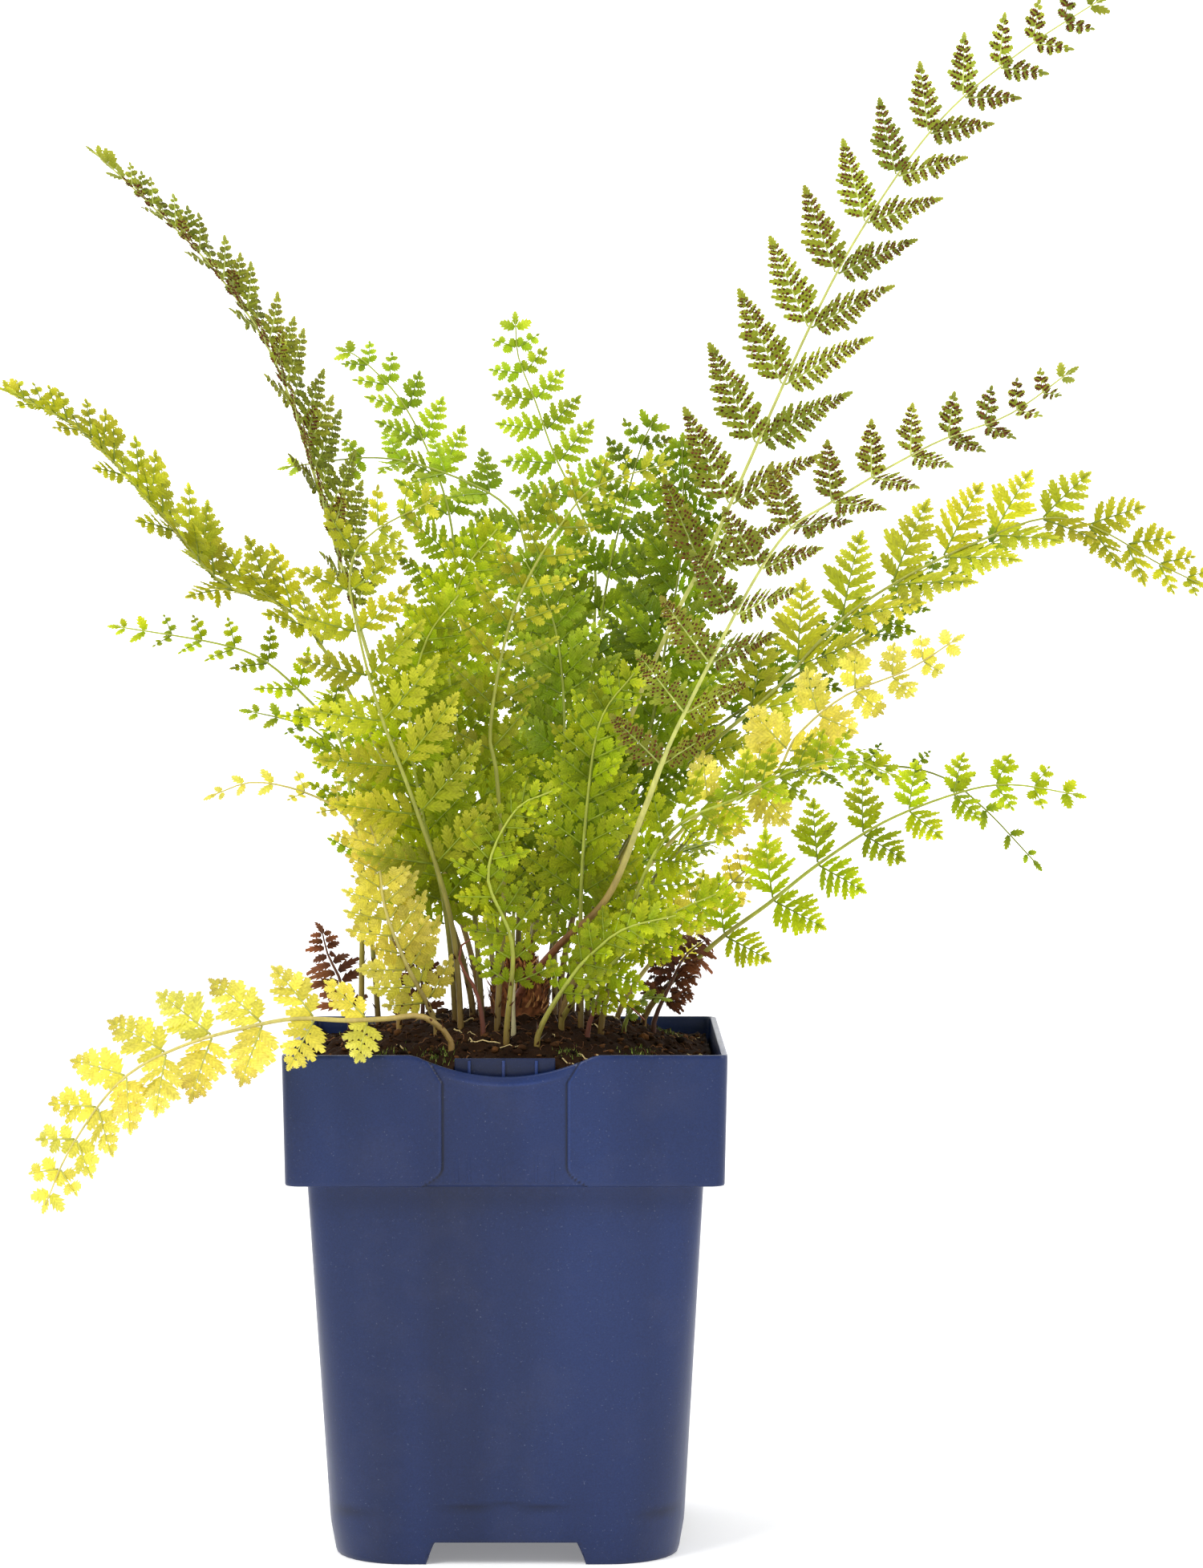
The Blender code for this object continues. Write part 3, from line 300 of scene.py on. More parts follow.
LOOKS = {
    "fertile": Look((116, 126, 34), (164, 168, 68), (180, 188, 96), (146, 104, 56), (188, 192, 104),
                    2.9, 1.2, 58, 0.1, 0.1, True),
    "gold": Look((146, 152, 22), (212, 208, 74), (126, 142, 40), (140, 108, 54), (160, 164, 70),
                 4.0, 1.22, 50, 0.1, 0.1),
    "pale": Look((214, 204, 74), (238, 227, 122), (182, 182, 80), (156, 120, 66), (200, 188, 104),
                 3.8, 1.56, 52, 0.14, 0.12, False, 0.1),
    "lime": Look((132, 152, 6), (208, 214, 50), (140, 158, 40), (130, 92, 48), (172, 182, 70),
                 3.7, 1.2, 54, 0.05, 0.12),
    "green": Look((118, 144, 12), (186, 198, 70), (130, 152, 46), (112, 74, 44), (156, 168, 70),
                  3.3, 1.2, 56, 0.06, 0.14),
    "deep": Look((86, 110, 2), (156, 172, 30), (104, 126, 24), (92, 60, 36), (126, 136, 46),
                 3.3, 1.2, 55, 0.06, 0.16),
    "dead": Look((74, 40, 24), (128, 78, 46), (64, 36, 22), (64, 36, 22), (92, 54, 34),
                 2.0, 1.6, 50, 1.0, 1.3, False, 0.45),
    "stalk": Look((0, 0, 0), (0, 0, 0), (0, 0, 0), (104, 56, 40), (132, 74, 52), 1, 1, 0),
    "straw": Look((0, 0, 0), (0, 0, 0), (0, 0, 0), (150, 138, 92), (206, 196, 148), 1, 1, 0),
}
BROWN = tone(122, 78, 44)
SORUS = tone(88, 50, 30)
RED_STEM = tone(136, 78, 52)
SCALE_TONE = tone(96, 60, 38)
SCALE_FACES = [(0, 1, 2, 4), (4, 2, 3)]


# Lines of the stems, as in the part
def soil_height(x, y):
    reach = min(1.0, math.hypot(x, y) / SOIL_REACH)
    crumbs = 0.7 * math.sin(x * 0.71 + 1.3) * math.cos(y * 0.63) + 0.4 * math.sin(x * 0.29 - y * 0.41)
    return SOIL_EDGE + SOIL_RISE * (1 - reach * reach) + crumbs


def stem_line(spots):
    x, y = spots[0]
    ground = soil_height(x, y)
    root = Vector((x, y, ground - STEM_DEPTH))
    knots = [Vector((x, y, ground + 1.5))] + [Vector(p) for p in spots[1:]]
    before = knots[0] - Vector((0, 0, (knots[1] - knots[0]).length))
    after = 2 * knots[-1] - knots[-2]
    chain = [before] + knots + [after]
    line = [root]
    for k in range(1, len(chain) - 2):
        a, b, c, d = chain[k - 1:k + 3]
        for step in range(8):
            t = step / 8
            line.append(0.5 * ((2 * b) + (c - a) * t + (2 * a - 5 * b + 4 * c - d) * t * t
                               + (3 * b - a - 3 * c + d) * t ** 3))
    line.append(knots[-1])
    return line


class Line:
    def __init__(self, points):
        self.points = points
        self.reach = [0.0]
        for a, b in zip(points, points[1:]):
            self.reach.append(self.reach[-1] + (b - a).length)
        self.length = self.reach[-1]

    def at(self, s):
        s = min(max(s, 0.0), self.length)
        k = 0
        while k < len(self.reach) - 2 and self.reach[k + 1] < s:
            k += 1
        t = (s - self.reach[k]) / (self.reach[k + 1] - self.reach[k])
        return self.points[k].lerp(self.points[k + 1], t)

    def frame(self, s, face):
        """Direction along the stem, across it, and out of the upper face."""
        along = (self.at(s + 1.5) - self.at(s - 1.5)).normalized()
        across = along.cross(face).normalized()
        return along, across, across.cross(along).normalized()


def stem_half(share):
    return STEM_HALF + (TIP_HALF - STEM_HALF) * min(1.0, share) ** 0.8


def stem_edge(line, s, face, side):
    """The upper corner of the part's stem on one side."""
    _, across, up = line.frame(s, face)
    half = stem_half(s / line.length)
    return line.at(s) + across * side * half + up * max(half * 0.92, BLADE / 2 + 0.02)


def pair_spots(line, spec):
    start, pairs = spec.start * line.length, spec.pairs
    spots = []
    rest = line.length - start
    place = [start + rest * (1 - (1 - i / pairs) ** 1.4) for i in range(pairs)] + [line.length]
    joined = spec.cut == 3
    for i in range(pairs):
        room = place[i + 1] - place[i]
        length = pinna_size(spec, i / pairs, room)[0]
        width = min(room, 0.75 * length) if joined else min(0.62 * room, 3.4, 0.7 * length)
        spots.append((place[i], place[i] + width, i / pairs, room))
    return spots


def pinna_size(spec, share, room):
    swell = min(1.0, (0.6 if spec.cut == 7 else 0.85) + 1.2 * share)
    fade = min(1.0, 1.08 * (1 - share) ** 0.72)
    length = max(spec.longest * swell * fade, 2.2)
    turn = math.sin(math.radians(spec.angle))
    return length, min(0.86 * room * turn, (0.26 if spec.cut == 4 else 0.32) * length + 1.4)


class Pinna:
    """Axis, width and normal of one pinna for one twist and length."""
    def __init__(self, line, face, spec, spot, side, twist, shorter):
        s0, s1, share, room = spot
        along, across, up = line.frame((s0 + s1) / 2, face)
        length, width = pinna_size(spec, share, room)
        self.length = length * shorter
        self.width = width * min(1.0, shorter + 0.15)
        fold = math.radians(spec.fold + twist)
        lean = math.radians(spec.angle)
        out = across * side * math.cos(fold) + up * math.sin(fold)
        self.way = along * math.cos(lean) + out * math.sin(lean)
        self.back = along * math.sin(lean) - out * math.cos(lean)
        self.root = line.at((s0 + s1) / 2) + across * side * stem_half(s0 / line.length)
        self.droop = up * (-0.1 * self.length)
        self.tip = self.root + self.way * self.length + self.droop
        roots = stem_edge(line, s0, face, side), stem_edge(line, s1, face, side)
        first, last = self.edge_point(line, spec, s0, s1, -1), self.edge_point(line, spec, s0, s1, 1)
        normal = (last - first).cross(self.tip - (roots[0] + roots[1]) / 2).normalized()
        self.normal = normal if normal.dot(up) > 0 else -normal

    def edge_point(self, line, spec, s0, s1, turn):
        """The first or last outline point of the part's pinna."""
        a = 0.28
        if spec.cut >= 5 and self.length >= SMALL_PINNA:
            a = 0.34 if spec.cut == 5 else 0.3
        corner = line.at(s0 if turn < 0 else s1) - line.at((s0 + s1) / 2)
        straight = corner.dot(self.back) * (1 - a) * self.length / (self.length - corner.dot(self.way))
        b = turn * max(self.width / 2, turn * straight + EDGE_OUT)
        return self.root + self.way * (self.length * a) + self.back * b + self.droop * a * a


def pinnae_of(name, line, face, spec):
    """The pinnae that the part's solid has, with the twist and length it gave each."""
    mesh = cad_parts[name].data
    tree = KDTree(len(mesh.vertices))
    for i, vert in enumerate(mesh.vertices):
        tree.insert(vert.co / MM, i)
    tree.balance()
    found = []
    spots = pair_spots(line, spec) if spec.pairs else []
    for number, spot in enumerate(spots):
        for side in (1, -1):
            for shorter, twist in itertools.product(SHORTER, TWISTS):
                pinna = Pinna(line, face, spec, spot, side, twist, shorter)
                if tree.find(pinna.tip + pinna.normal * (BLADE / 2))[2] < SAME_POINT:
                    pinna.place = number, side, twist, shorter
                    found.append(pinna)
                    break
    if (spec.cut == 3 or name in DENSE) and name not in OPEN:
        found += pinnae_between(line, face, spec, spots, found)
    return found


def pinnae_between(line, face, spec, spots, found):
    """One more pinna halfway between each two neighbours, for the denser fronds."""
    placed = {pinna.place[:2]: pinna.place[2:] for pinna in found}
    extra = []
    for (number, side), (twist, shorter) in placed.items():
        if (number + 1, side) in placed:
            next_twist, next_shorter = placed[number + 1, side]
            spot = tuple((a + b) / 2 for a, b in zip(spots[number], spots[number + 1]))
            turn = BETWEEN_TURN if number % 2 else -BETWEEN_TURN
            extra.append(Pinna(line, face, spec, spot, side, (twist + next_twist) / 2 + turn,
                               min(shorter, next_shorter) * BETWEEN_LENGTH))
    return extra


# Meshes
def put(name, data):
    obj = bpy.data.objects.new(name, data)
    bpy.context.scene.collection.objects.link(obj)
    return obj


class Sheet:
    """Points, faces, colours and leaf places of one piece, gathered bit by bit."""
    def __init__(self):
        self.points, self.tints, self.places, self.faces, self.slots = [], [], [], [], []
        self.count = 0

    def add(self, points, faces, tints, places=None, slot=0):
        points = np.asarray(points, float)
        n = len(points)
        self.points.append(points)
        self.tints.append(np.broadcast_to(np.asarray(tints, float), (n, 3)))
        self.places.append(np.zeros((n, 3)) if places is None else np.asarray(places, float))
        self.faces += [tuple(i + self.count for i in face) for face in faces]
        self.slots += [slot] * len(faces)
        self.count += n

    def paint_tuft_shade(self, middle, reach, ground, top, least):
        """Painted shade: colours darker inside the tuft and low down, where the fronds shade each other.
        """
        for k, points in enumerate(self.points):
            aside = np.hypot(points[:, 0] - middle[0], points[:, 1] - middle[1])
            # How deep a point lies in the tuft's painted shade, more so lower down
            deep = np.clip(1.4 - 1.4 * aside / reach, 0, 1)
            deep *= np.clip((top - points[:, 2]) / (top - ground), 0, 1)
            self.tints[k] = self.tints[k] * (1 - (1 - least) * deep)[:, None]

    def make(self, name, mats, smooth=True):
        mesh = bpy.data.meshes.new(name)
        mesh.from_pydata((np.vstack(self.points) * MM).tolist(), [], self.faces)
        for label, rows in (("tint", self.tints), ("place", self.places)):
            layer = mesh.color_attributes.new(label, "FLOAT_COLOR", "POINT")
            rows = np.vstack(rows)
            layer.data.foreach_set("color", np.hstack([rows, np.ones((len(rows), 1))]).ravel())
        for mat in mats:
            mesh.materials.append(mat)
        mesh.polygons.foreach_set("material_index", self.slots)
        mesh.polygons.foreach_set("use_smooth", [smooth] * len(mesh.polygons))
        mesh.update()
        return put(name, mesh)


def settle(obj, slot, *nodes):
    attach(obj, "root")
    if nodes:
        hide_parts(*nodes)


def unit(v):
    return v / max(np.linalg.norm(v), 1e-9)


def ring_faces(rings, sides):
    """Faces between rings of points, with both ends closed."""
    faces = []
    for k in range(rings - 1):
        for j in range(sides):
            i = (j + 1) % sides
            faces.append((k * sides + j, k * sides + i, (k + 1) * sides + i, (k + 1) * sides + j))
    faces.append(tuple(range(sides - 1, -1, -1)))
    faces.append(tuple(range((rings - 1) * sides, rings * sides)))
    return faces


def tube(sheet, path, radii, tints, sides, slot):
    """Round tube along points, closed at both ends."""
    path = np.asarray(path, float)
    runs = np.gradient(path, axis=0)
    side = unit(np.cross(runs[0], (0.31, 0.22, 0.93)))
    points = []
    for k, middle in enumerate(path):
        run = unit(runs[k])
        side = unit(side - run * side.dot(run))
        rise = np.cross(run, side)
        for j in range(sides):
            turn = math.tau * j / sides
            points.append(middle + radii[k] * (side * math.cos(turn) + rise * math.sin(turn)))
    tints = np.repeat(np.asarray(tints, float), sides, axis=0)
    sheet.add(points, ring_faces(len(path), sides), tints, slot=slot)


# Leaves. A toothed pinnule: share along it, half width, and how far its teeth point forwards
BROAD = ((0.0, 0.36, 0.0), (0.12, 0.5, 0.0), (0.26, 0.94, 0.09), (0.35, 0.58, 0.0), (0.52, 1.0, 0.12),
         (0.61, 0.54, 0.0), (0.74, 0.76, 0.12), (0.81, 0.38, 0.0), (0.9, 0.36, 0.08))
SLIM = ((0.0, 0.44, 0.0), (0.12, 0.6, 0.0), (0.25, 1.0, 0.09), (0.33, 0.62, 0.0), (0.48, 0.98, 0.11),
        (0.57, 0.58, 0.0), (0.7, 0.76, 0.11), (0.78, 0.42, 0.0), (0.88, 0.4, 0.08))


def pinnule_plan(rows):
    """Grid of points (along, across, forwards) with a rib in the middle and one tip."""
    plan = []
    for u, half, forwards in rows:
        plan += [(u + forwards, -half), (u, 0.0), (u + forwards, half)]
    plan.append((1.0, 0.0))
    faces = []
    for k in range(len(rows) - 1):
        a, b = 3 * k, 3 * k + 3
        faces += [(a, a + 1, b + 1, b), (a + 1, a + 2, b + 2, b + 1)]
    a, tip = 3 * len(rows) - 3, 3 * len(rows)
    faces += [(a, a + 1, tip), (a + 1, a + 2, tip)]
    return np.array(plan), faces


PLANS = {"broad": pinnule_plan(BROAD), "slim": pinnule_plan(SLIM)}


def leaf_lift(u, v, length, half, curl):
    """Height of a leaf over its flat plane: sides and tip bow down."""
    return -LEAF_BOW * half * v * v - curl * length * u * u


def add_pinnule(sheet, plan, at, way, side, normal, length, half, curl, colours, along):
    """One toothed leaf from a point, with its edges and tip turned down."""
    grid, faces = PLANS[plan]
    u, v = grid[:, 0], grid[:, 1]
    points = at + np.outer(u * length, way) + np.outer(v * half, side)
    points = points + np.outer(leaf_lift(u, v, length, half, curl), normal)
    root, tip = colours
    blend = np.clip(0.75 * u + 0.35 * np.abs(v) - 0.1, 0, 1)[:, None]
    places = np.stack([u, np.abs(v), np.full(len(u), along)], 1)
    sheet.add(points, faces, root * (1 - blend) + tip * blend, places)


def add_sori(sheet, draw, at, way, side, normal, length, half, curl):
    """Two rows of brown spore dots on the lower face of a pinnule."""
    turns = [math.tau * k / 6 for k in range(6)]
    faces = []
    for k in range(6):
        j = (k + 1) % 6
        faces += [(k, j, 6 + j, 6 + k), (6 + k, 6 + j, 12)]
    for u, v in SORUS_SPOTS:
        if draw.random() < SORUS_MISSING:
            continue
        size = min(0.4, 0.29 * half) * draw.uniform(0.75, 1.15)
        lift = leaf_lift(u, v, length, half, curl)
        middle = at + way * (u * length) + side * (v * half) + normal * (lift - 0.02)
        ring = [(way * math.cos(t) * SORUS_LONG + side * math.sin(t)) * size for t in turns]
        outer = [middle + out for out in ring]
        inner = [middle + out * 0.6 - normal * size * 0.62 for out in ring]
        points = outer + inner + [middle - normal * size * 0.8]
        sheet.add(points, faces, SORUS * draw.uniform(0.6, 1.6), slot=2)


def add_pinna(sheet, draw, pinna, look):
    """Rib with two rows of toothed pinnules that shorten and join towards the tip."""
    root, way, back = (np.array(v) for v in (pinna.root, pinna.way, pinna.back))
    normal, droop = np.array(pinna.normal), np.array(pinna.droop)
    length, width = pinna.length, pinna.width
    shade = 1.02 + draw.uniform(-look.vary, look.vary)
    warm = np.array([draw.uniform(0.95, 1.08), 1.0, draw.uniform(0.85, 1.1)])
    browned = draw.random() < look.brown
    if length < WHOLE_PINNA:
        colours = [look.root * shade * warm, look.tip * shade * warm]
        half = max(0.56 * width, 0.3 * length)
        add_pinnule(sheet, "broad", root, unit(way * length + droop), back, normal, length * 1.05,
                    half, look.curl, colours, 0.8)
        return

    def axis(a):
        return root + way * (length * a) + droop * a * a

    def heading(a):
        return unit(way * length + droop * 2 * a)

    ribs = np.linspace(0, 0.97, 6)
    thick = RIB_HALF * min(1.0, 0.5 + length / 30)
    tube(sheet, [axis(a) for a in ribs], [thick * (1 - 0.7 * a) for a in ribs],
         [(look.rib * (1 - 0.4 * a) + look.root * 0.4 * a) * shade for a in ribs], 4, 1)
    count = max(2, round(length / look.spacing))
    places = [0.05 + 0.87 * (1 - (1 - i / count) ** 1.22) for i in range(count)] + [0.93]
    plan = "slim" if look.spacing < 3.5 else "broad"
    across_half = max(width / 2, 1.0)
    for i in range(count):
        a, gap = places[i], (places[i + 1] - places[i]) * length
        profile = min(1.0, 0.76 + 1.8 * a) * min(1.0, 1.22 * (1 - a) ** 0.92 + 0.07)
        for turn in (1, -1):
            lean = math.radians(look.lean + draw.uniform(-6, 6))
            at = axis(a + (0.25 * gap / length if turn < 0 else 0.0))
            run = heading(a)
            out = back * turn
            reach = across_half * profile / math.sin(lean) * draw.uniform(0.94, 1.12) * PINNULE_REACH
            roll = draw.gauss(0.0, 0.16) + look.curl * draw.uniform(-0.5, 1.2)
            leaf = unit(run * math.cos(lean) + out * math.sin(lean) + normal * roll * 0.6)
            side = unit(run * math.sin(lean) - out * math.cos(lean) + normal * draw.gauss(0.0, 0.14))
            face = unit(np.cross(leaf, side))
            if face.dot(normal) < 0:
                face = -face
            half = gap * math.sin(lean) * PINNULE_FILL * look.slender * draw.uniform(0.88, 1.12)
            half = min(max(half, 0.5), 0.66 * reach)
            own = shade * draw.uniform(0.84, 1.16)
            tip = look.root * (0.75 - a) + look.tip * (0.25 + a)
            colours = [look.root * own * warm, tip * own * warm]
            if browned and a > 0.66:
                colours[1] = colours[1] * 0.45 + BROWN * 0.55
            curl = look.curl * draw.uniform(0.4, 1.6)
            add_pinnule(sheet, plan, at, leaf, side, face, reach, half, curl, colours, a)
            if look.sori and reach > 1.6:
                add_sori(sheet, draw, at, leaf, side, face, reach, half, curl)
    end, run = axis(0.86), heading(0.95)
    colours = [look.root * shade * warm, look.tip * shade * warm * (0.8 if browned else 1.0)]
    if browned:
        colours[1] = colours[1] * 0.4 + BROWN * 0.6
    reach = max(0.16 * length, 1.3)
    add_pinnule(sheet, plan, end, run, unit(np.cross(run, normal)), normal, reach,
                0.26 * reach + 0.2, look.curl, colours, 1.0)


def add_scales(sheet, draw, line, face, count, reach):
    """Thin brown scales on the foot of a stem."""
    for _ in range(count):
        s = STEM_DEPTH + reach * draw.random() ** 1.6
        along, across, up = (np.array(v) for v in line.frame(s, face))
        turn = draw.uniform(0, math.tau)
        out = across * math.cos(turn) + up * math.sin(turn)
        at = np.array(line.at(s)) + out * stem_half(s / line.length) * 0.85
        leaf = unit(along * draw.uniform(0.6, 1.1) + out * draw.uniform(0.25, 0.6))
        side = unit(np.cross(leaf, out)) * draw.uniform(0.25, 0.45)
        size = draw.uniform(1.6, 3.6)
        middle = at + leaf * size * 0.5
        points = [at - side, at + side, middle + side * 0.7, at + leaf * size + out * 0.2,
                  middle - side * 0.7]
        sheet.add(points, SCALE_FACES, SCALE_TONE * draw.uniform(0.5, 1.3), slot=1)


def add_stem(sheet, draw, name, line, look):
    """Tapered stem, thicker and redder at the foot of the front frond."""
    steps = max(10, int(line.length / 4))
    places = [line.length * k / steps for k in range(steps + 1)]
    radii, tints = [], []
    for s in places:
        share = s / line.length
        thick = 1.28 if name == "frond_front_right" and share < 0.4 else 1.0
        thick = 1.1 if name == "stalk_cut" else thick
        radii.append(stem_half(share) * (0.92 - 0.38 * share) * thick)
        tint = look.stem_low * max(0.0, 1 - 2.4 * share) + look.stem_high * min(1.0, 2.4 * share)
        if name == "frond_front_right":
            low = min(1.0, max(0.0, (0.3 - share) / 0.2))
            tint = tint * (1 - low) + RED_STEM * low
        tints.append(tint * draw.uniform(0.95, 1.05))
    tube(sheet, [np.array(line.at(s)) for s in places], radii, tints, 8, 1)


def build_frond(name, number, mats):
    spec = Frond(*FRONDS[name])
    look = LOOKS[spec.kind]
    line, face = Line(stem_line(spec.spots)), Vector(spec.face).normalized()
    draw = random.Random(1000 + number)
    sheet = Sheet()
    add_stem(sheet, draw, name, line, look)
    for pinna in pinnae_of(name, line, face, spec):
        pinna.width *= FULL.get(name, 1.0)
        add_pinna(sheet, draw, pinna, look)
    if spec.pairs:
        along, across, up = (np.array(v) for v in line.frame(line.length - 1, face))
        end = np.array(line.at(line.length - 1.5))
        add_pinnule(sheet, "broad", end, along, across, up, *END_LEAF, look.curl,
                    [look.root, look.tip], 1.0)
    if spec.pairs and spec.kind != "dead":
        add_scales(sheet, draw, line, face, STEM_SCALES, min(28.0, 0.2 * line.length))
    # Painted shade deep in the tuft and low down
    sheet.paint_tuft_shade(CROWN_AT, TUFT_REACH, SOIL_EDGE, TUFT_TOP, INNER_SHADE)
    leaf = mats["leaf_" + spec.kind] if spec.pairs else mats["stem"]
    settle(sheet.make(name + "_fine", [leaf, mats["stem"], mats["sori"]]), spec.kind, name)


# Pot
def side_places():
    """Places along a flat side as shares of its reach, closer together at the panel and notch edges."""
    places = [-SIDE_REACH + 2 * SIDE_REACH * k / 40 for k in range(41)]
    near, far = EDGE_BAND
    for k in range(34):
        t = near + (far - near) * k / 33
        places += [t, -t]
    return [t / SIDE_REACH for t in sorted({round(t, 3) for t in places})]


def rounded_square(half, radius, shares):
    """Ring of points and outward directions, anticlockwise from above, with dense straight sides."""
    ring = []
    flat = half - radius
    for quarter in range(4):
        turn = math.radians(90 * quarter)
        ca, sa = math.cos(turn), math.sin(turn)
        for share in shares[:-1]:
            y = flat * share
            ring.append((half * ca - y * sa, half * sa + y * ca, ca, sa))
        for k in range(CORNER_STEPS):
            a = math.radians(90 * k / CORNER_STEPS)
            x, y = flat + radius * math.cos(a), flat + radius * math.sin(a)
            ring.append((x * ca - y * sa, x * sa + y * ca,
                         math.cos(a) * ca - math.sin(a) * sa, math.cos(a) * sa + math.sin(a) * ca))
    return ring


def step_up(t):
    """Smooth step from 0 to 1."""
    t = min(1.0, max(0.0, t))
    return t * t * (3 - 2 * t)


def pot_profile():
    """Half width, corner radius and height of each ring, from the floor's edge round the wall and back."""
    foot, low, top, collar = FOOT_HALF, BODY_LOW_HALF, BODY_TOP_HALF, COLLAR_HALF
    rows = [(foot - WALL - 1.5, 19.8, FLOOR_UNDER), (foot - WALL - 1.2, 20.0, 0.3),
            (foot - WALL - 0.9, 20.2, 0.0), (foot - 0.4, 21.4, 0.0), (foot - 0.1, 21.5, 0.3)]
    for t in (0.15, 0.3, 0.45, 0.6, 0.68, 0.8, 0.95):
        rows.append((foot + (low - foot) * t, CORNER_LOW - 0.5 + 0.5 * t, FOOT_CHAMFER * t))
    for t in (0.02, 0.05, 0.075, 0.084, 0.092, 0.1, 0.12, 0.2, 0.3, 0.42, 0.55, 0.7, 0.85, 0.96, 0.992):
        radius = CORNER_LOW + (CORNER_TOP - CORNER_LOW) * t
        rows.append((low + (top - low) * t, radius, FOOT_CHAMFER + (COLLAR_LOW - FOOT_CHAMFER) * t))
    rows += [(top + 0.15, CORNER_TOP, COLLAR_LOW - 0.3), (top + 0.6, 4.8, COLLAR_LOW),
             (collar - 1.5, 3.6, COLLAR_LOW), (collar - 1.0, COLLAR_RADIUS, COLLAR_LOW + 0.15),
             (collar - COLLAR_DRAFT, COLLAR_RADIUS, COLLAR_LOW + 0.6)]
    for k in range(1, COLLAR_ROWS):
        t = k / COLLAR_ROWS
        rows.append((collar - COLLAR_DRAFT * (1 - t), COLLAR_RADIUS,
                     COLLAR_LOW + 0.6 + (POT_HEIGHT - COLLAR_LOW - 1.0) * t))
    rows += [(collar - 0.05, 3.45, POT_HEIGHT - 0.35), (collar - 0.3, 3.3, POT_HEIGHT - 0.08),
             (collar - 0.7, 3.0, POT_HEIGHT), (collar - 1.25, 2.6, POT_HEIGHT - 0.02),
             (collar - 1.65, 2.4, POT_HEIGHT - 0.25), (collar - COLLAR_WALL, 2.3, POT_HEIGHT - 0.7)]
    for t in (0.1, 0.25, 0.5, 0.75, 1.0):
        rows.append((collar - COLLAR_WALL - COLLAR_DRAFT * t, 2.3,
                     POT_HEIGHT - (POT_HEIGHT - COLLAR_LOW - WALL) * t))
    rows += [(top - WALL, 4.0, COLLAR_LOW + WALL), (top - WALL - 0.2, 4.2, COLLAR_LOW),
             (low - WALL, 20.6, FLOOR_TOP), (low * 0.5, 10.0, FLOOR_TOP), (2.0, 0.8, FLOOR_TOP)]
    return rows


def hump(value, width):
    """Smooth hump, 1 at zero and gone beyond its width."""
    return math.exp(-(value / width) ** 2)


def front_relief(x, z, outward):
    """How far the collar's front face stands back and its rim dips, and its painted shade and highlight
    lines.
    """
    depth, dip, painted_shading = 0.0, 0.0, 0.0
    if abs(x) < RIM_DIP_HALF:
        dip = RIM_DIP * (1 - (x / RIM_DIP_HALF) ** 2)
    if outward:
        flare = PANEL_LEAN * step_up((z - COLLAR_LOW) / 4.0)
        low = PANEL_CORNER_OUT * max(0.0, 1 - (z - COLLAR_LOW) / PANEL_CORNER_RISE) ** 2
        high = PANEL_TOP_OUT * max(0.0, (z - POT_HEIGHT + 5.0) / 8.0)
        edge = RECESS_HALF + PANEL_LEAN - flare + low + high
        past = abs(x) - edge
        depth = RECESS_DEPTH * (1 - step_up(past / PANEL_STEP + 0.5))
        # Painted shade at the foot of the panel step, painted highlight on the raised edge beside it
        painted_shading = 1.05 * hump(past + 0.3, 0.36) - 0.5 * hump(past - 0.5, 0.3)
        lip = z - POT_HEIGHT + LIP_BELOW_RIM
        if abs(x) < RECESS_HALF and -0.6 < lip < 1.6:
            rise = hump(lip - 0.5, 0.6) * (1 - (x / RECESS_HALF) ** 2)
            depth -= LIP_OUT * rise
            # Painted shade under the lip, painted highlight on the lip itself
            painted_shading += 0.8 * hump(lip + 0.7, 0.3) - 0.7 * rise
    return depth, dip, painted_shading


def pot_point(x, y, nx, ny, half, z):
    """A point of the pot's ring, moved by front relief, seam and foot notches, and its colour with painted
    shade and highlight lines.
    """
    dz, push, painted_shading = 0.0, 0.0, 0.0
    aside = abs(y if abs(ny) < abs(nx) else x)
    if y < FRONT_Y and z > COLLAR_LOW and ny < -0.99:
        depth, dip, painted_shading = front_relief(x, z, half > COLLAR_HALF - COLLAR_WALL + 0.4)
        push = -depth
        bend = COLLAR_LOW + RIM_BEND
        dz = -dip * step_up((z - bend) / (POT_HEIGHT - bend))
    if half > BODY_LOW_HALF - 0.5 and z < COLLAR_LOW - 1:
        seam = hump(z - SEAM_Z + SEAM_ARCH * min(1.0, aside / SEAM_REACH), 0.5)
        push -= SEAM_DEPTH * seam
        # Painted shade in the seam's shallow dent
        painted_shading = 0.6 * seam
    if z < NOTCH_HEIGHT + 0.2 and half > FOOT_HALF - WALL - 2 and max(abs(nx), abs(ny)) > 0.99:
        rise = NOTCH_HEIGHT * step_up((NOTCH_HALF + 1.0 - aside) / 2.0)
        dz = max(dz, rise - z)
    # Colour darkened by painted shade and lightened by painted highlight
    return (x + nx * push, y + ny * push, z + dz), (1 - PAINTED_SHADING_STRENGTH * painted_shading,) * 3


def build_pot(mat):
    shares = side_places()
    rows = pot_profile()
    points, tints = [], []
    for half, radius, z in rows:
        for spot in rounded_square(half, min(radius, half - 0.2), shares):
            point, tint = pot_point(*spot, half, z)
            points.append(point)
            tints.append(tint)
    sheet = Sheet()
    sheet.add(points, ring_faces(len(rows), len(points) // len(rows)), tints)
    pot = sheet.make("pot_fine", [mat])
    cut_drains(pot)
    settle(pot, "pot", "pot")


def cut_drains(pot):
    drains = Sheet()
    for x, y in DRAIN_SPOTS:
        block(drains, (x - DRAIN_HALF, y - DRAIN_HALF, FLOOR_UNDER - 2),
              (x + DRAIN_HALF, y + DRAIN_HALF, FLOOR_TOP + 2))
    cutter = drains.make("drains", [])
    cut = pot.modifiers.new("drains", "BOOLEAN")
    cut.operation = "DIFFERENCE"
    cut.solver = "EXACT"
    cut.object = cutter
    apply_shape(pot, cut)
    bpy.data.objects.remove(cutter, do_unlink=True)


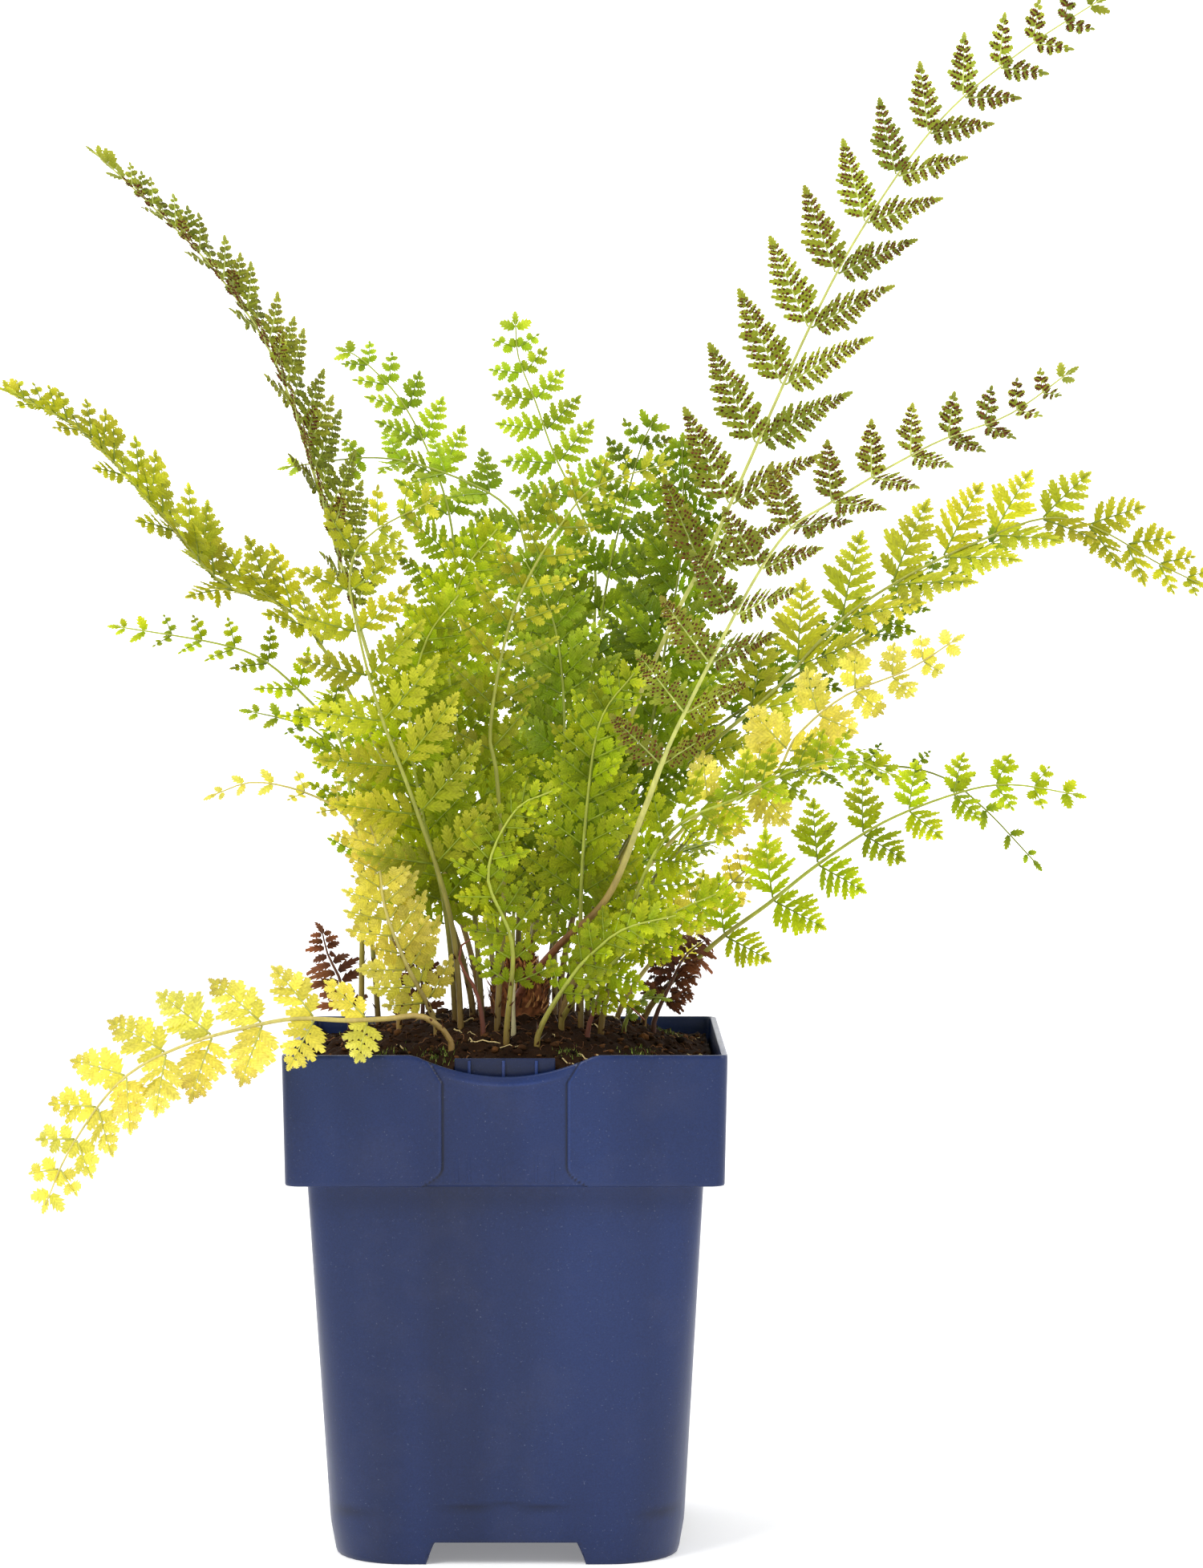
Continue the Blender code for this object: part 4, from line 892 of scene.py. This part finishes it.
def block(sheet, low, high, tint=(1, 1, 1)):
    x0, y0, z0 = low
    x1, y1, z1 = high
    points = [(x0, y0, z0), (x1, y0, z0), (x1, y1, z0), (x0, y1, z0),
              (x0, y0, z1), (x1, y0, z1), (x1, y1, z1), (x0, y1, z1)]
    faces = [(3, 2, 1, 0), (4, 5, 6, 7), (0, 1, 5, 4), (1, 2, 6, 5), (2, 3, 7, 6), (3, 0, 4, 7)]
    sheet.add(points, faces, tint)


def build_pocket(mat):
    """Wall, ends and ribs of the narrow pocket behind the dipped rim."""
    sheet = Sheet()
    front = -(COLLAR_HALF - COLLAR_WALL) - 0.4
    panel = -(COLLAR_HALF - COLLAR_WALL) + POCKET_GAP
    back = panel + 0.2
    low = COLLAR_LOW + 1.0
    # Painted shade on the pocket's back wall and painted highlight on the fronts of its ribs
    dark, light = (0.6,) * 3, (1.7,) * 3
    block(sheet, (-POCKET_HALF, panel, low), (POCKET_HALF, panel + POCKET_WALL, POT_HEIGHT - 1.4), dark)
    for x in (-POCKET_HALF, POCKET_HALF - POCKET_WALL):
        block(sheet, (x, front, low), (x + POCKET_WALL, back, POT_HEIGHT - 8.2))
    for x in RIB_SPOTS:
        block(sheet, (x - 0.6, front, low), (x + 0.6, back, POT_HEIGHT - 8.6))
        block(sheet, (x - 0.45, panel - 0.9, low), (x + 0.45, back, POT_HEIGHT - 2.0), light)
    pocket = sheet.make("pot_pocket", [mat], False)
    edges = pocket.modifiers.new("edges", "BEVEL")
    edges.width = 0.25 * MM
    edges.segments = 2
    edges.limit_method = "ANGLE"
    apply_shape(pocket, edges)
    settle(pocket, "pot")


def apply_shape(obj, modifier):
    """Make a modifier's shape the object's own."""
    bpy.context.view_layer.objects.active = obj
    bpy.ops.object.modifier_apply(modifier=modifier.name)


# Soil
def rough(x, y, scale, seed):
    return noise.noise(Vector((x * scale + seed, y * scale - seed, seed * 0.37)))


def soil_top(x, y):
    """Crumbly height of the soil."""
    near = noise.voronoi(Vector((x * 0.32, y * 0.32, 3.1)))[0]
    lumps = 0.75 * (near[1] - near[0])
    fine = 0.55 * rough(x, y, 0.62, 5.0) + 0.35 * rough(x, y, 1.5, 9.0)
    return soil_height(x, y) + lumps * 1.3 - 0.7 + fine


def add_ground(sheet):
    """Crumbly top of the soil and the closed body under it."""
    half, count = GROUND_HALF, SOIL_GRID + 1
    pocket_back = -(COLLAR_HALF - COLLAR_WALL) + POCKET_GAP + POCKET_WALL + SOIL_GAP
    points, tints, faces = [], [], []
    for i in range(count):
        for j in range(count):
            x = -half + 2 * half * i / SOIL_GRID
            y = -half + 2 * half * j / SOIL_GRID
            if abs(x) < POCKET_HALF + SOIL_GAP:
                y = max(y, pocket_back)
            points.append((x, y, soil_top(x, y)))
            dust = 0.5 + 0.5 * rough(x, y, 0.12, 2.0)
            wet = 0.6 + 0.4 * noise.noise(Vector((x * 0.9, y * 0.9, 7)))
            tints.append(tone(38, 22, 10) * (0.5 + 0.7 * dust) * (0.7 + 0.5 * wet))
    for i in range(SOIL_GRID):
        for j in range(SOIL_GRID):
            a = i * count + j
            faces.append((a, a + count, a + count + 1, a + 1))
    rim = [i * count for i in range(count)]
    rim += [SOIL_GRID * count + j for j in range(1, count)]
    rim += [i * count + SOIL_GRID for i in range(SOIL_GRID - 1, -1, -1)]
    rim += list(range(SOIL_GRID - 1, 0, -1))
    first = len(points)
    for k, i in enumerate(rim):
        x, y, _ = points[i]
        points.append((x * 0.8, y * 0.8, COLLAR_LOW - 10))
        tints.append(tone(36, 22, 12))
        j = (k + 1) % len(rim)
        faces.append((i, first + k, first + j, rim[j]))
    faces.append(tuple(range(first, len(points))))
    sheet.add(points, faces, np.array(tints))


def build_soil(mats):
    draw = random.Random(7)
    ground, litter = Sheet(), Sheet()
    add_ground(ground)
    add_clods(ground, draw)
    settle(ground.make("soil_fine", [mats["soil"]]), "soil", "soil")
    add_fibres(litter, draw)
    add_moss(litter, draw)
    settle(litter.make("soil_litter", [mats["litter"]]), "soil")


# Soil crumbs: a ball of twenty faces, as corners and faces
GOLDEN = (1 + 5 ** 0.5) / 2
BALL = np.array([(-1, GOLDEN, 0), (1, GOLDEN, 0), (-1, -GOLDEN, 0), (1, -GOLDEN, 0),
                 (0, -1, GOLDEN), (0, 1, GOLDEN), (0, -1, -GOLDEN), (0, 1, -GOLDEN),
                 (GOLDEN, 0, -1), (GOLDEN, 0, 1), (-GOLDEN, 0, -1), (-GOLDEN, 0, 1)]) / 1.9
BALL_FACES = [(0, 11, 5), (0, 5, 1), (0, 1, 7), (0, 7, 10), (0, 10, 11), (1, 5, 9), (5, 11, 4),
              (11, 10, 2), (10, 7, 6), (7, 1, 8), (3, 9, 4), (3, 4, 2), (3, 2, 6), (3, 6, 8),
              (3, 8, 9), (4, 9, 5), (2, 4, 11), (6, 2, 10), (8, 6, 7), (9, 8, 1)]

# Colours of the soil's bits and of the crown's bark
CLOD_TONES = ((38, 22, 11), (54, 33, 16), (28, 17, 10), (84, 54, 28), (46, 28, 14))
ROOT_TONES = ((96, 64, 42), (70, 46, 32), (120, 84, 54))
STRAW_TONE = (188, 168, 118)
MOSS_TONES = ((96, 118, 44), (120, 140, 60), (74, 92, 36), (150, 160, 84))
BARK_TONES = ((146, 92, 52), (104, 62, 38), (178, 120, 70), (76, 46, 30), (200, 146, 90))


def free_spot(draw):
    """A place on the soil, clear of the pocket."""
    reach = GROUND_HALF - 2
    while True:
        x, y = draw.uniform(-reach, reach), draw.uniform(-reach, reach)
        if y > -54 or abs(x) > POCKET_HALF + 3:
            return x, y


def add_clods(sheet, draw):
    for _ in range(CLODS):
        x, y = free_spot(draw)
        size = draw.uniform(0.35, 1.0) * (2.2 if draw.random() < 0.07 else 1.0)
        knobs = np.array([[draw.uniform(0.62, 1.12)] for _ in BALL])
        stretch = np.array([size * draw.uniform(0.8, 1.4), size, size * draw.uniform(0.6, 1.0)])
        tint = tone(*draw.choice(CLOD_TONES))
        spot = (x, y, soil_top(x, y) + size * 0.25)
        sheet.add(BALL * knobs * stretch + spot, BALL_FACES, tint * draw.uniform(0.7, 1.25))


def add_fibres(sheet, draw):
    """Fine roots, bark threads and straw bits that lie on the soil."""
    for _ in range(FIBRES):
        x, y = free_spot(draw)
        straw = draw.random() < 0.16
        reach = draw.uniform(2.5, 8.0) * (1.4 if straw else 1.0)
        turn = draw.uniform(0, math.tau)
        bend = draw.uniform(-0.5, 0.5) * (0.3 if straw else 1.6)
        thick = draw.uniform(0.16, 0.32) if straw else draw.uniform(0.07, 0.17)
        tint = tone(*(STRAW_TONE if straw else draw.choice(ROOT_TONES)))
        path = []
        for step in range(6):
            px, py = (min(max(c, 2 - GROUND_HALF), GROUND_HALF - 2) for c in (x, y))
            lift = draw.uniform(0.1, 0.5) * math.sin(step * 0.6)
            path.append((px, py, soil_top(px, py) + thick + lift))
            x += math.cos(turn) * reach / 6
            y += math.sin(turn) * reach / 6
            turn += bend / 2
        tube(sheet, path, [thick] * 6, [tint * draw.uniform(0.8, 1.2)] * 6, 3, 0)


def add_moss(sheet, draw):
    """Patches of short green moss blades: place, spread and count of each."""
    for px, py, spread, count in MOSS:
        for _ in range(count):
            x, y = px + draw.gauss(0, spread / 2), py + draw.gauss(0, spread / 2)
            if max(abs(x), abs(y)) > GROUND_HALF - 2 or (y < FRONT_Y and abs(x) < POCKET_HALF + 2):
                continue
            turn = draw.uniform(0, math.tau)
            out = np.array((math.cos(turn), math.sin(turn), 0.0))
            at = np.array((x, y, soil_top(x, y) - 0.1))
            side = np.array((-out[1], out[0], 0.0)) * draw.uniform(0.12, 0.24)
            tall = draw.uniform(0.7, 1.8)
            tip = at + out * tall * 0.5 + (0, 0, tall)
            tint = tone(*draw.choice(MOSS_TONES))
            sheet.add([at - side, at + side, tip], [(0, 1, 2)], tint * draw.uniform(0.7, 1.2))


# Crown
def build_crown(mats):
    sheet = Sheet()
    draw = random.Random(21)
    rings, sides = 30, 40
    points, tints = [], []
    for k in range(rings + 1):
        t = k / rings
        z = 150.5 + (CROWN_TOP - 151.5) * t
        share = 1.0 if t < 0.42 else (1 - ((t - 0.42) / 0.58) ** 1.7 * 0.72)
        for j in range(sides):
            turn = math.tau * j / sides
            ca, sa = math.cos(turn), math.sin(turn)
            knob = 1 + 0.1 * noise.noise(Vector((ca * 2.4, sa * 2.4, z * 0.22)))
            knob += 0.05 * noise.noise(Vector((ca * 9, sa * 9, z * 0.8)))
            size = share * min(knob, 1.0 if t < 0.42 else 1.15)
            x, y = CROWN_AT[0] + CROWN_HALF[0] * size * ca, CROWN_AT[1] + CROWN_HALF[1] * size * sa
            points.append((x, y, z))
            tints.append(tone(112, 68, 40) * (0.6 + 0.6 * draw.random()))
    sheet.add(points, ring_faces(rings + 1, sides), np.array(tints))
    add_bark(sheet, draw)
    settle(sheet.make("crown_fine", [mats["crown"]]), "crown", "crown")


def add_bark(sheet, draw):
    """Brown scales that stand up round the crown."""
    for _ in range(CROWN_SCALES):
        turn = draw.uniform(0, math.tau)
        t = draw.random() ** 0.8
        z = 160 + (CROWN_TOP - 161) * t
        share = 1.0 if t < 0.3 else 1 - (t - 0.3) * 0.8
        out = np.array((math.cos(turn), math.sin(turn), 0.0))
        at = np.array((CROWN_AT[0] + CROWN_HALF[0] * share * out[0] * 0.97,
                       CROWN_AT[1] + CROWN_HALF[1] * share * out[1] * 0.97, z))
        leaf = unit(np.array((0, 0, 1.0)) * draw.uniform(0.5, 1.2) + out * draw.uniform(0.1, 0.6)
                    + np.array((-out[1], out[0], 0)) * draw.uniform(-0.5, 0.5))
        side = unit(np.cross(leaf, out)) * draw.uniform(0.3, 0.6)
        size = draw.uniform(2.0, 5.0)
        middle = at + leaf * size * 0.55 + out * 0.25
        shape = [at - side, at + side, middle + side * 0.75, at + leaf * size, middle - side * 0.75]
        tint = tone(*draw.choice(BARK_TONES))
        sheet.add(shape, SCALE_FACES, tint * draw.uniform(0.7, 1.2))


# Materials
class Shader:
    """A material with short ways to add and join its nodes."""
    def __init__(self, name):
        self.mat = bpy.data.materials.new(name)
        self.mat.use_nodes = True
        self.tree = self.mat.node_tree
        self.main = self.tree.nodes["Principled BSDF"]
        self.out = self.tree.nodes["Material Output"]

    def node(self, kind, inputs, **values):
        made = self.tree.nodes.new(kind)
        for key, value in values.items():
            setattr(made, key, value)
        self.fill(made, inputs)
        return made

    def fill(self, node, inputs):
        """Join other nodes to a node's inputs, or give them plain values."""
        for label, value in inputs.items():
            if isinstance(value, bpy.types.NodeSocket):
                self.tree.links.new(value, node.inputs[label])
            else:
                node.inputs[label].default_value = value

    def attribute(self, name):
        return self.node("ShaderNodeAttribute", {}, attribute_name=name).outputs["Color"]

    def spots(self, scale, detail=4.0, stretch=(1, 1, 1), rough=0.6):
        """Noise in the piece's own space, scale in features per metre."""
        place = self.node("ShaderNodeTexCoord", {}).outputs["Object"]
        moved = self.node("ShaderNodeMapping", {"Vector": place, "Scale": stretch}).outputs["Vector"]
        inputs = {"Vector": moved, "Scale": scale, "Detail": detail, "Roughness": rough}
        return self.node("ShaderNodeTexNoise", inputs).outputs["Fac"]

    def span(self, value, low, high, start=0.3, end=0.7):
        inputs = {"Value": value, "From Min": start, "From Max": end, "To Min": low, "To Max": high}
        return self.node("ShaderNodeMapRange", inputs).outputs["Result"]

    def sum(self, kind, *values):
        return self.node("ShaderNodeMath", dict(enumerate(values)), operation=kind).outputs[0]

    def mix(self, factor, colour, other, blend="MIX"):
        inputs = {0: factor, 6: colour, 7: other}
        return self.node("ShaderNodeMix", inputs, data_type="RGBA", blend_type=blend).outputs[2]

    def times(self, colour, *values):
        """A colour made lighter or darker by values."""
        for value in values:
            colour = self.mix(1.0, colour, value, "MULTIPLY")
        return colour

    def bump(self, height, strength, distance):
        inputs = {"Height": height, "Strength": strength, "Distance": distance}
        return self.node("ShaderNodeBump", inputs).outputs["Normal"]


def solid(*screen):
    return (*tone(*screen), 1.0)


def leaf_material(name, through, gloss, glow):
    """Leaf with side veins, mottled colour and light that shows through."""
    s = Shader(name)
    u, v, _ = s.node("ShaderNodeSeparateColor", {"Color": s.attribute("place")}).outputs
    slant = s.sum("ADD", s.sum("MULTIPLY", u, 34.0), s.sum("MULTIPLY", v, -11.0))
    wave = s.span(s.sum("SINE", slant), 0.0, 1.0, -1.0, 1.0)
    rib = s.span(v, 1.0, 0.0, 0.0, 0.16)
    mottle = s.span(s.spots(620.0), 0.84, 1.14)
    patch = s.span(s.spots(90.0, 2.0), 0.9, 1.1)
    veins = s.span(wave, 0.9, 1.06, 0.0, 1.0)
    # Lighter along the midrib: a painted highlight on the raised rib
    tint = s.times(s.attribute("tint"), mottle, patch, veins, s.span(rib, 1.0, 1.12, 0.0, 1.0))
    height = s.sum("ADD", s.sum("MULTIPLY", wave, 0.6), s.sum("MULTIPLY", rib, 1.2))
    normal = s.bump(height, 0.45, 0.00016)
    rough_spots = s.span(s.spots(900.0), gloss - 0.08, gloss + 0.1)
    s.fill(s.main, {"Base Color": tint, "Roughness": rough_spots, "Specular IOR Level": 0.16,
                    "Normal": normal})
    inputs = {"Color": s.times(tint, (*glow, 1.0)), "Normal": normal}
    light = s.node("ShaderNodeBsdfTranslucent", inputs).outputs[0]
    both = s.node("ShaderNodeMixShader", {0: through, 1: s.main.outputs[0], 2: light}).outputs[0]
    s.fill(s.out, {"Surface": both})
    return s.mat


def grown_material(name, scale, low, high, roughness, depth, stretch=(1, 1, 1)):
    """Stems, spore dots, scales and soil: the piece's own colours with grain and bumps."""
    s = Shader(name)
    grain = s.spots(scale, 6.0, stretch, 0.65)
    patch = s.span(s.spots(scale * 0.18, 2.0), 0.88, 1.1)
    s.fill(s.main, {"Base Color": s.times(s.attribute("tint"), s.span(grain, low, high), patch),
                    "Roughness": s.span(grain, roughness - 0.1, roughness + 0.1),
                    "Specular IOR Level": 0.3 if roughness < 0.7 else 0.08,
                    "Normal": s.bump(grain, 0.5, depth)})
    return s.mat


def pot_material():
    """Dark blue moulded plastic: fine grain, faint flow marks, pale specks and dust."""
    s = Shader("pot_plastic")
    grain = s.spots(1900.0, 2.0)
    flow = s.span(s.spots(16.0, 3.0, (1.0, 1.0, 0.22)), 0.0, 1.0, 0.35, 0.65)
    streaks = s.span(s.spots(44.0, 1.0, (1.0, 1.0, 0.05)), 0.8, 1.24)
    speck = s.span(s.spots(1500.0, 1.0), 0.0, 0.22, 0.7, 0.8)
    dust = s.span(s.spots(60.0, 6.0), 0.0, 0.04, 0.5, 0.75)
    base = s.mix(flow, solid(18, 34, 75), solid(21, 38, 80))
    base = s.times(base, s.span(grain, 0.86, 1.14), streaks)
    base = s.mix(speck, base, solid(128, 134, 156))
    base = s.mix(dust, base, solid(120, 116, 116))
    s.fill(s.main, {"Base Color": s.times(base, s.attribute("tint")),
                    "Roughness": s.span(s.spots(120.0, 4.0), 0.3, 0.36),
                    "Specular IOR Level": 0.32, "Normal": s.bump(grain, 0.22, 0.00006)})
    return s.mat


# Leaves: share of light that shows through, roughness, and its tone
LEAVES = {
    "fertile": (0.3, 0.5, (1.25, 1.2, 0.5)),
    "gold": (0.36, 0.5, (1.2, 1.15, 0.4)),
    "pale": (0.38, 0.52, (1.12, 1.08, 0.6)),
    "lime": (0.36, 0.46, (1.25, 1.25, 0.35)),
    "green": (0.32, 0.46, (1.3, 1.3, 0.4)),
    "deep": (0.28, 0.44, (1.3, 1.3, 0.4)),
    "dead": (0.08, 0.72, (1.2, 0.9, 0.6)),
}


def make_materials():
    mats = {"leaf_" + kind: leaf_material("leaf_" + kind, *values) for kind, values in LEAVES.items()}
    mats["stem"] = grown_material("stem", 700.0, 0.8, 1.15, 0.45, 0.00008, (1, 1, 0.25))
    mats["sori"] = grown_material("spore_dots", 2600.0, 0.6, 1.5, 0.8, 0.00012)
    mats["soil"] = grown_material("potting_soil", 1300.0, 0.5, 1.5, 0.88, 0.0005)
    mats["litter"] = grown_material("soil_litter", 1500.0, 0.7, 1.3, 0.75, 0.0001)
    mats["crown"] = grown_material("crown_bark", 900.0, 0.6, 1.4, 0.78, 0.0003, (1, 1, 0.4))
    mats["pot"] = pot_material()
    return mats


# Stage, light and camera
def plate(name, corners, glow):
    mesh = bpy.data.meshes.new(name)
    mesh.from_pydata(corners, [], [(0, 1, 2, 3)])
    mesh.materials.append(pale_material(name, glow))
    return put(name, mesh)


def build_stage():
    """Pale floor and, behind the pot, a pale wall."""
    size, far = STAGE_REACH, WALL_Y
    corners = [(-size, -size, 0), (size, -size, 0), (size, size, 0), (-size, size, 0)]
    floor = plate("floor", corners, 0.22)
    corners = [(-size, far, 0), (size, far, 0), (size, far, size), (-size, far, size)]
    backdrop = plate("backdrop", corners, 0.85)


def pale_material(name, glow):
    s = Shader(name)
    s.fill(s.main, {"Base Color": (0.9, 0.9, 0.9, 1), "Roughness": 0.9,
                    "Emission Color": (1, 1, 1, 1), "Emission Strength": glow})
    return s.mat


def softbox(name, place, aim, size, power):
    data = bpy.data.lights.new(name, "AREA")
    data.shape = "RECTANGLE"
    data.size, data.size_y = size
    data.energy = power
    lamp = put(name, data)
    lamp.location = place
    lamp.rotation_euler = (Vector(aim) - Vector(place)).to_track_quat("-Z", "Y").to_euler()


def build_lights():
    world = bpy.data.worlds.new("studio")
    world.use_nodes = True
    sky = world.node_tree.nodes["Background"]
    sky.inputs["Color"].default_value = (1, 1, 1, 1)
    sky.inputs["Strength"].default_value = 0.62
    bpy.context.scene.world = world
    softbox("key", (-0.9, -1.0, 1.5), (0, 0, 0.22), (0.8, 0.8), 24)
    softbox("side", (1.3, -0.4, 0.8), (0, 0, 0.2), (0.4, 1.0), 7)


def build_camera():
    data = bpy.data.cameras.new("photo")
    data.sensor_width = SENSOR
    data.lens = FOCAL_PX / FRAME_PX * SENSOR
    data.clip_start, data.clip_end = 0.05, 50.0
    camera = put("photo", data)
    camera.location = CAMERA_AT
    camera.rotation_euler = (math.pi / 2 - CAMERA_DOWN, 0, 0)
    bpy.context.scene.camera = camera


def main():
    mats = make_materials()
    build_camera()
    build_lights()
    build_stage()
    build_pot(mats["pot"])
    build_pocket(mats["pot"])
    build_soil(mats)
    build_crown(mats)
    for number, name in enumerate(FRONDS):
        build_frond(name, number, mats)
    bpy.context.scene.view_settings.view_transform = "Standard"


main()
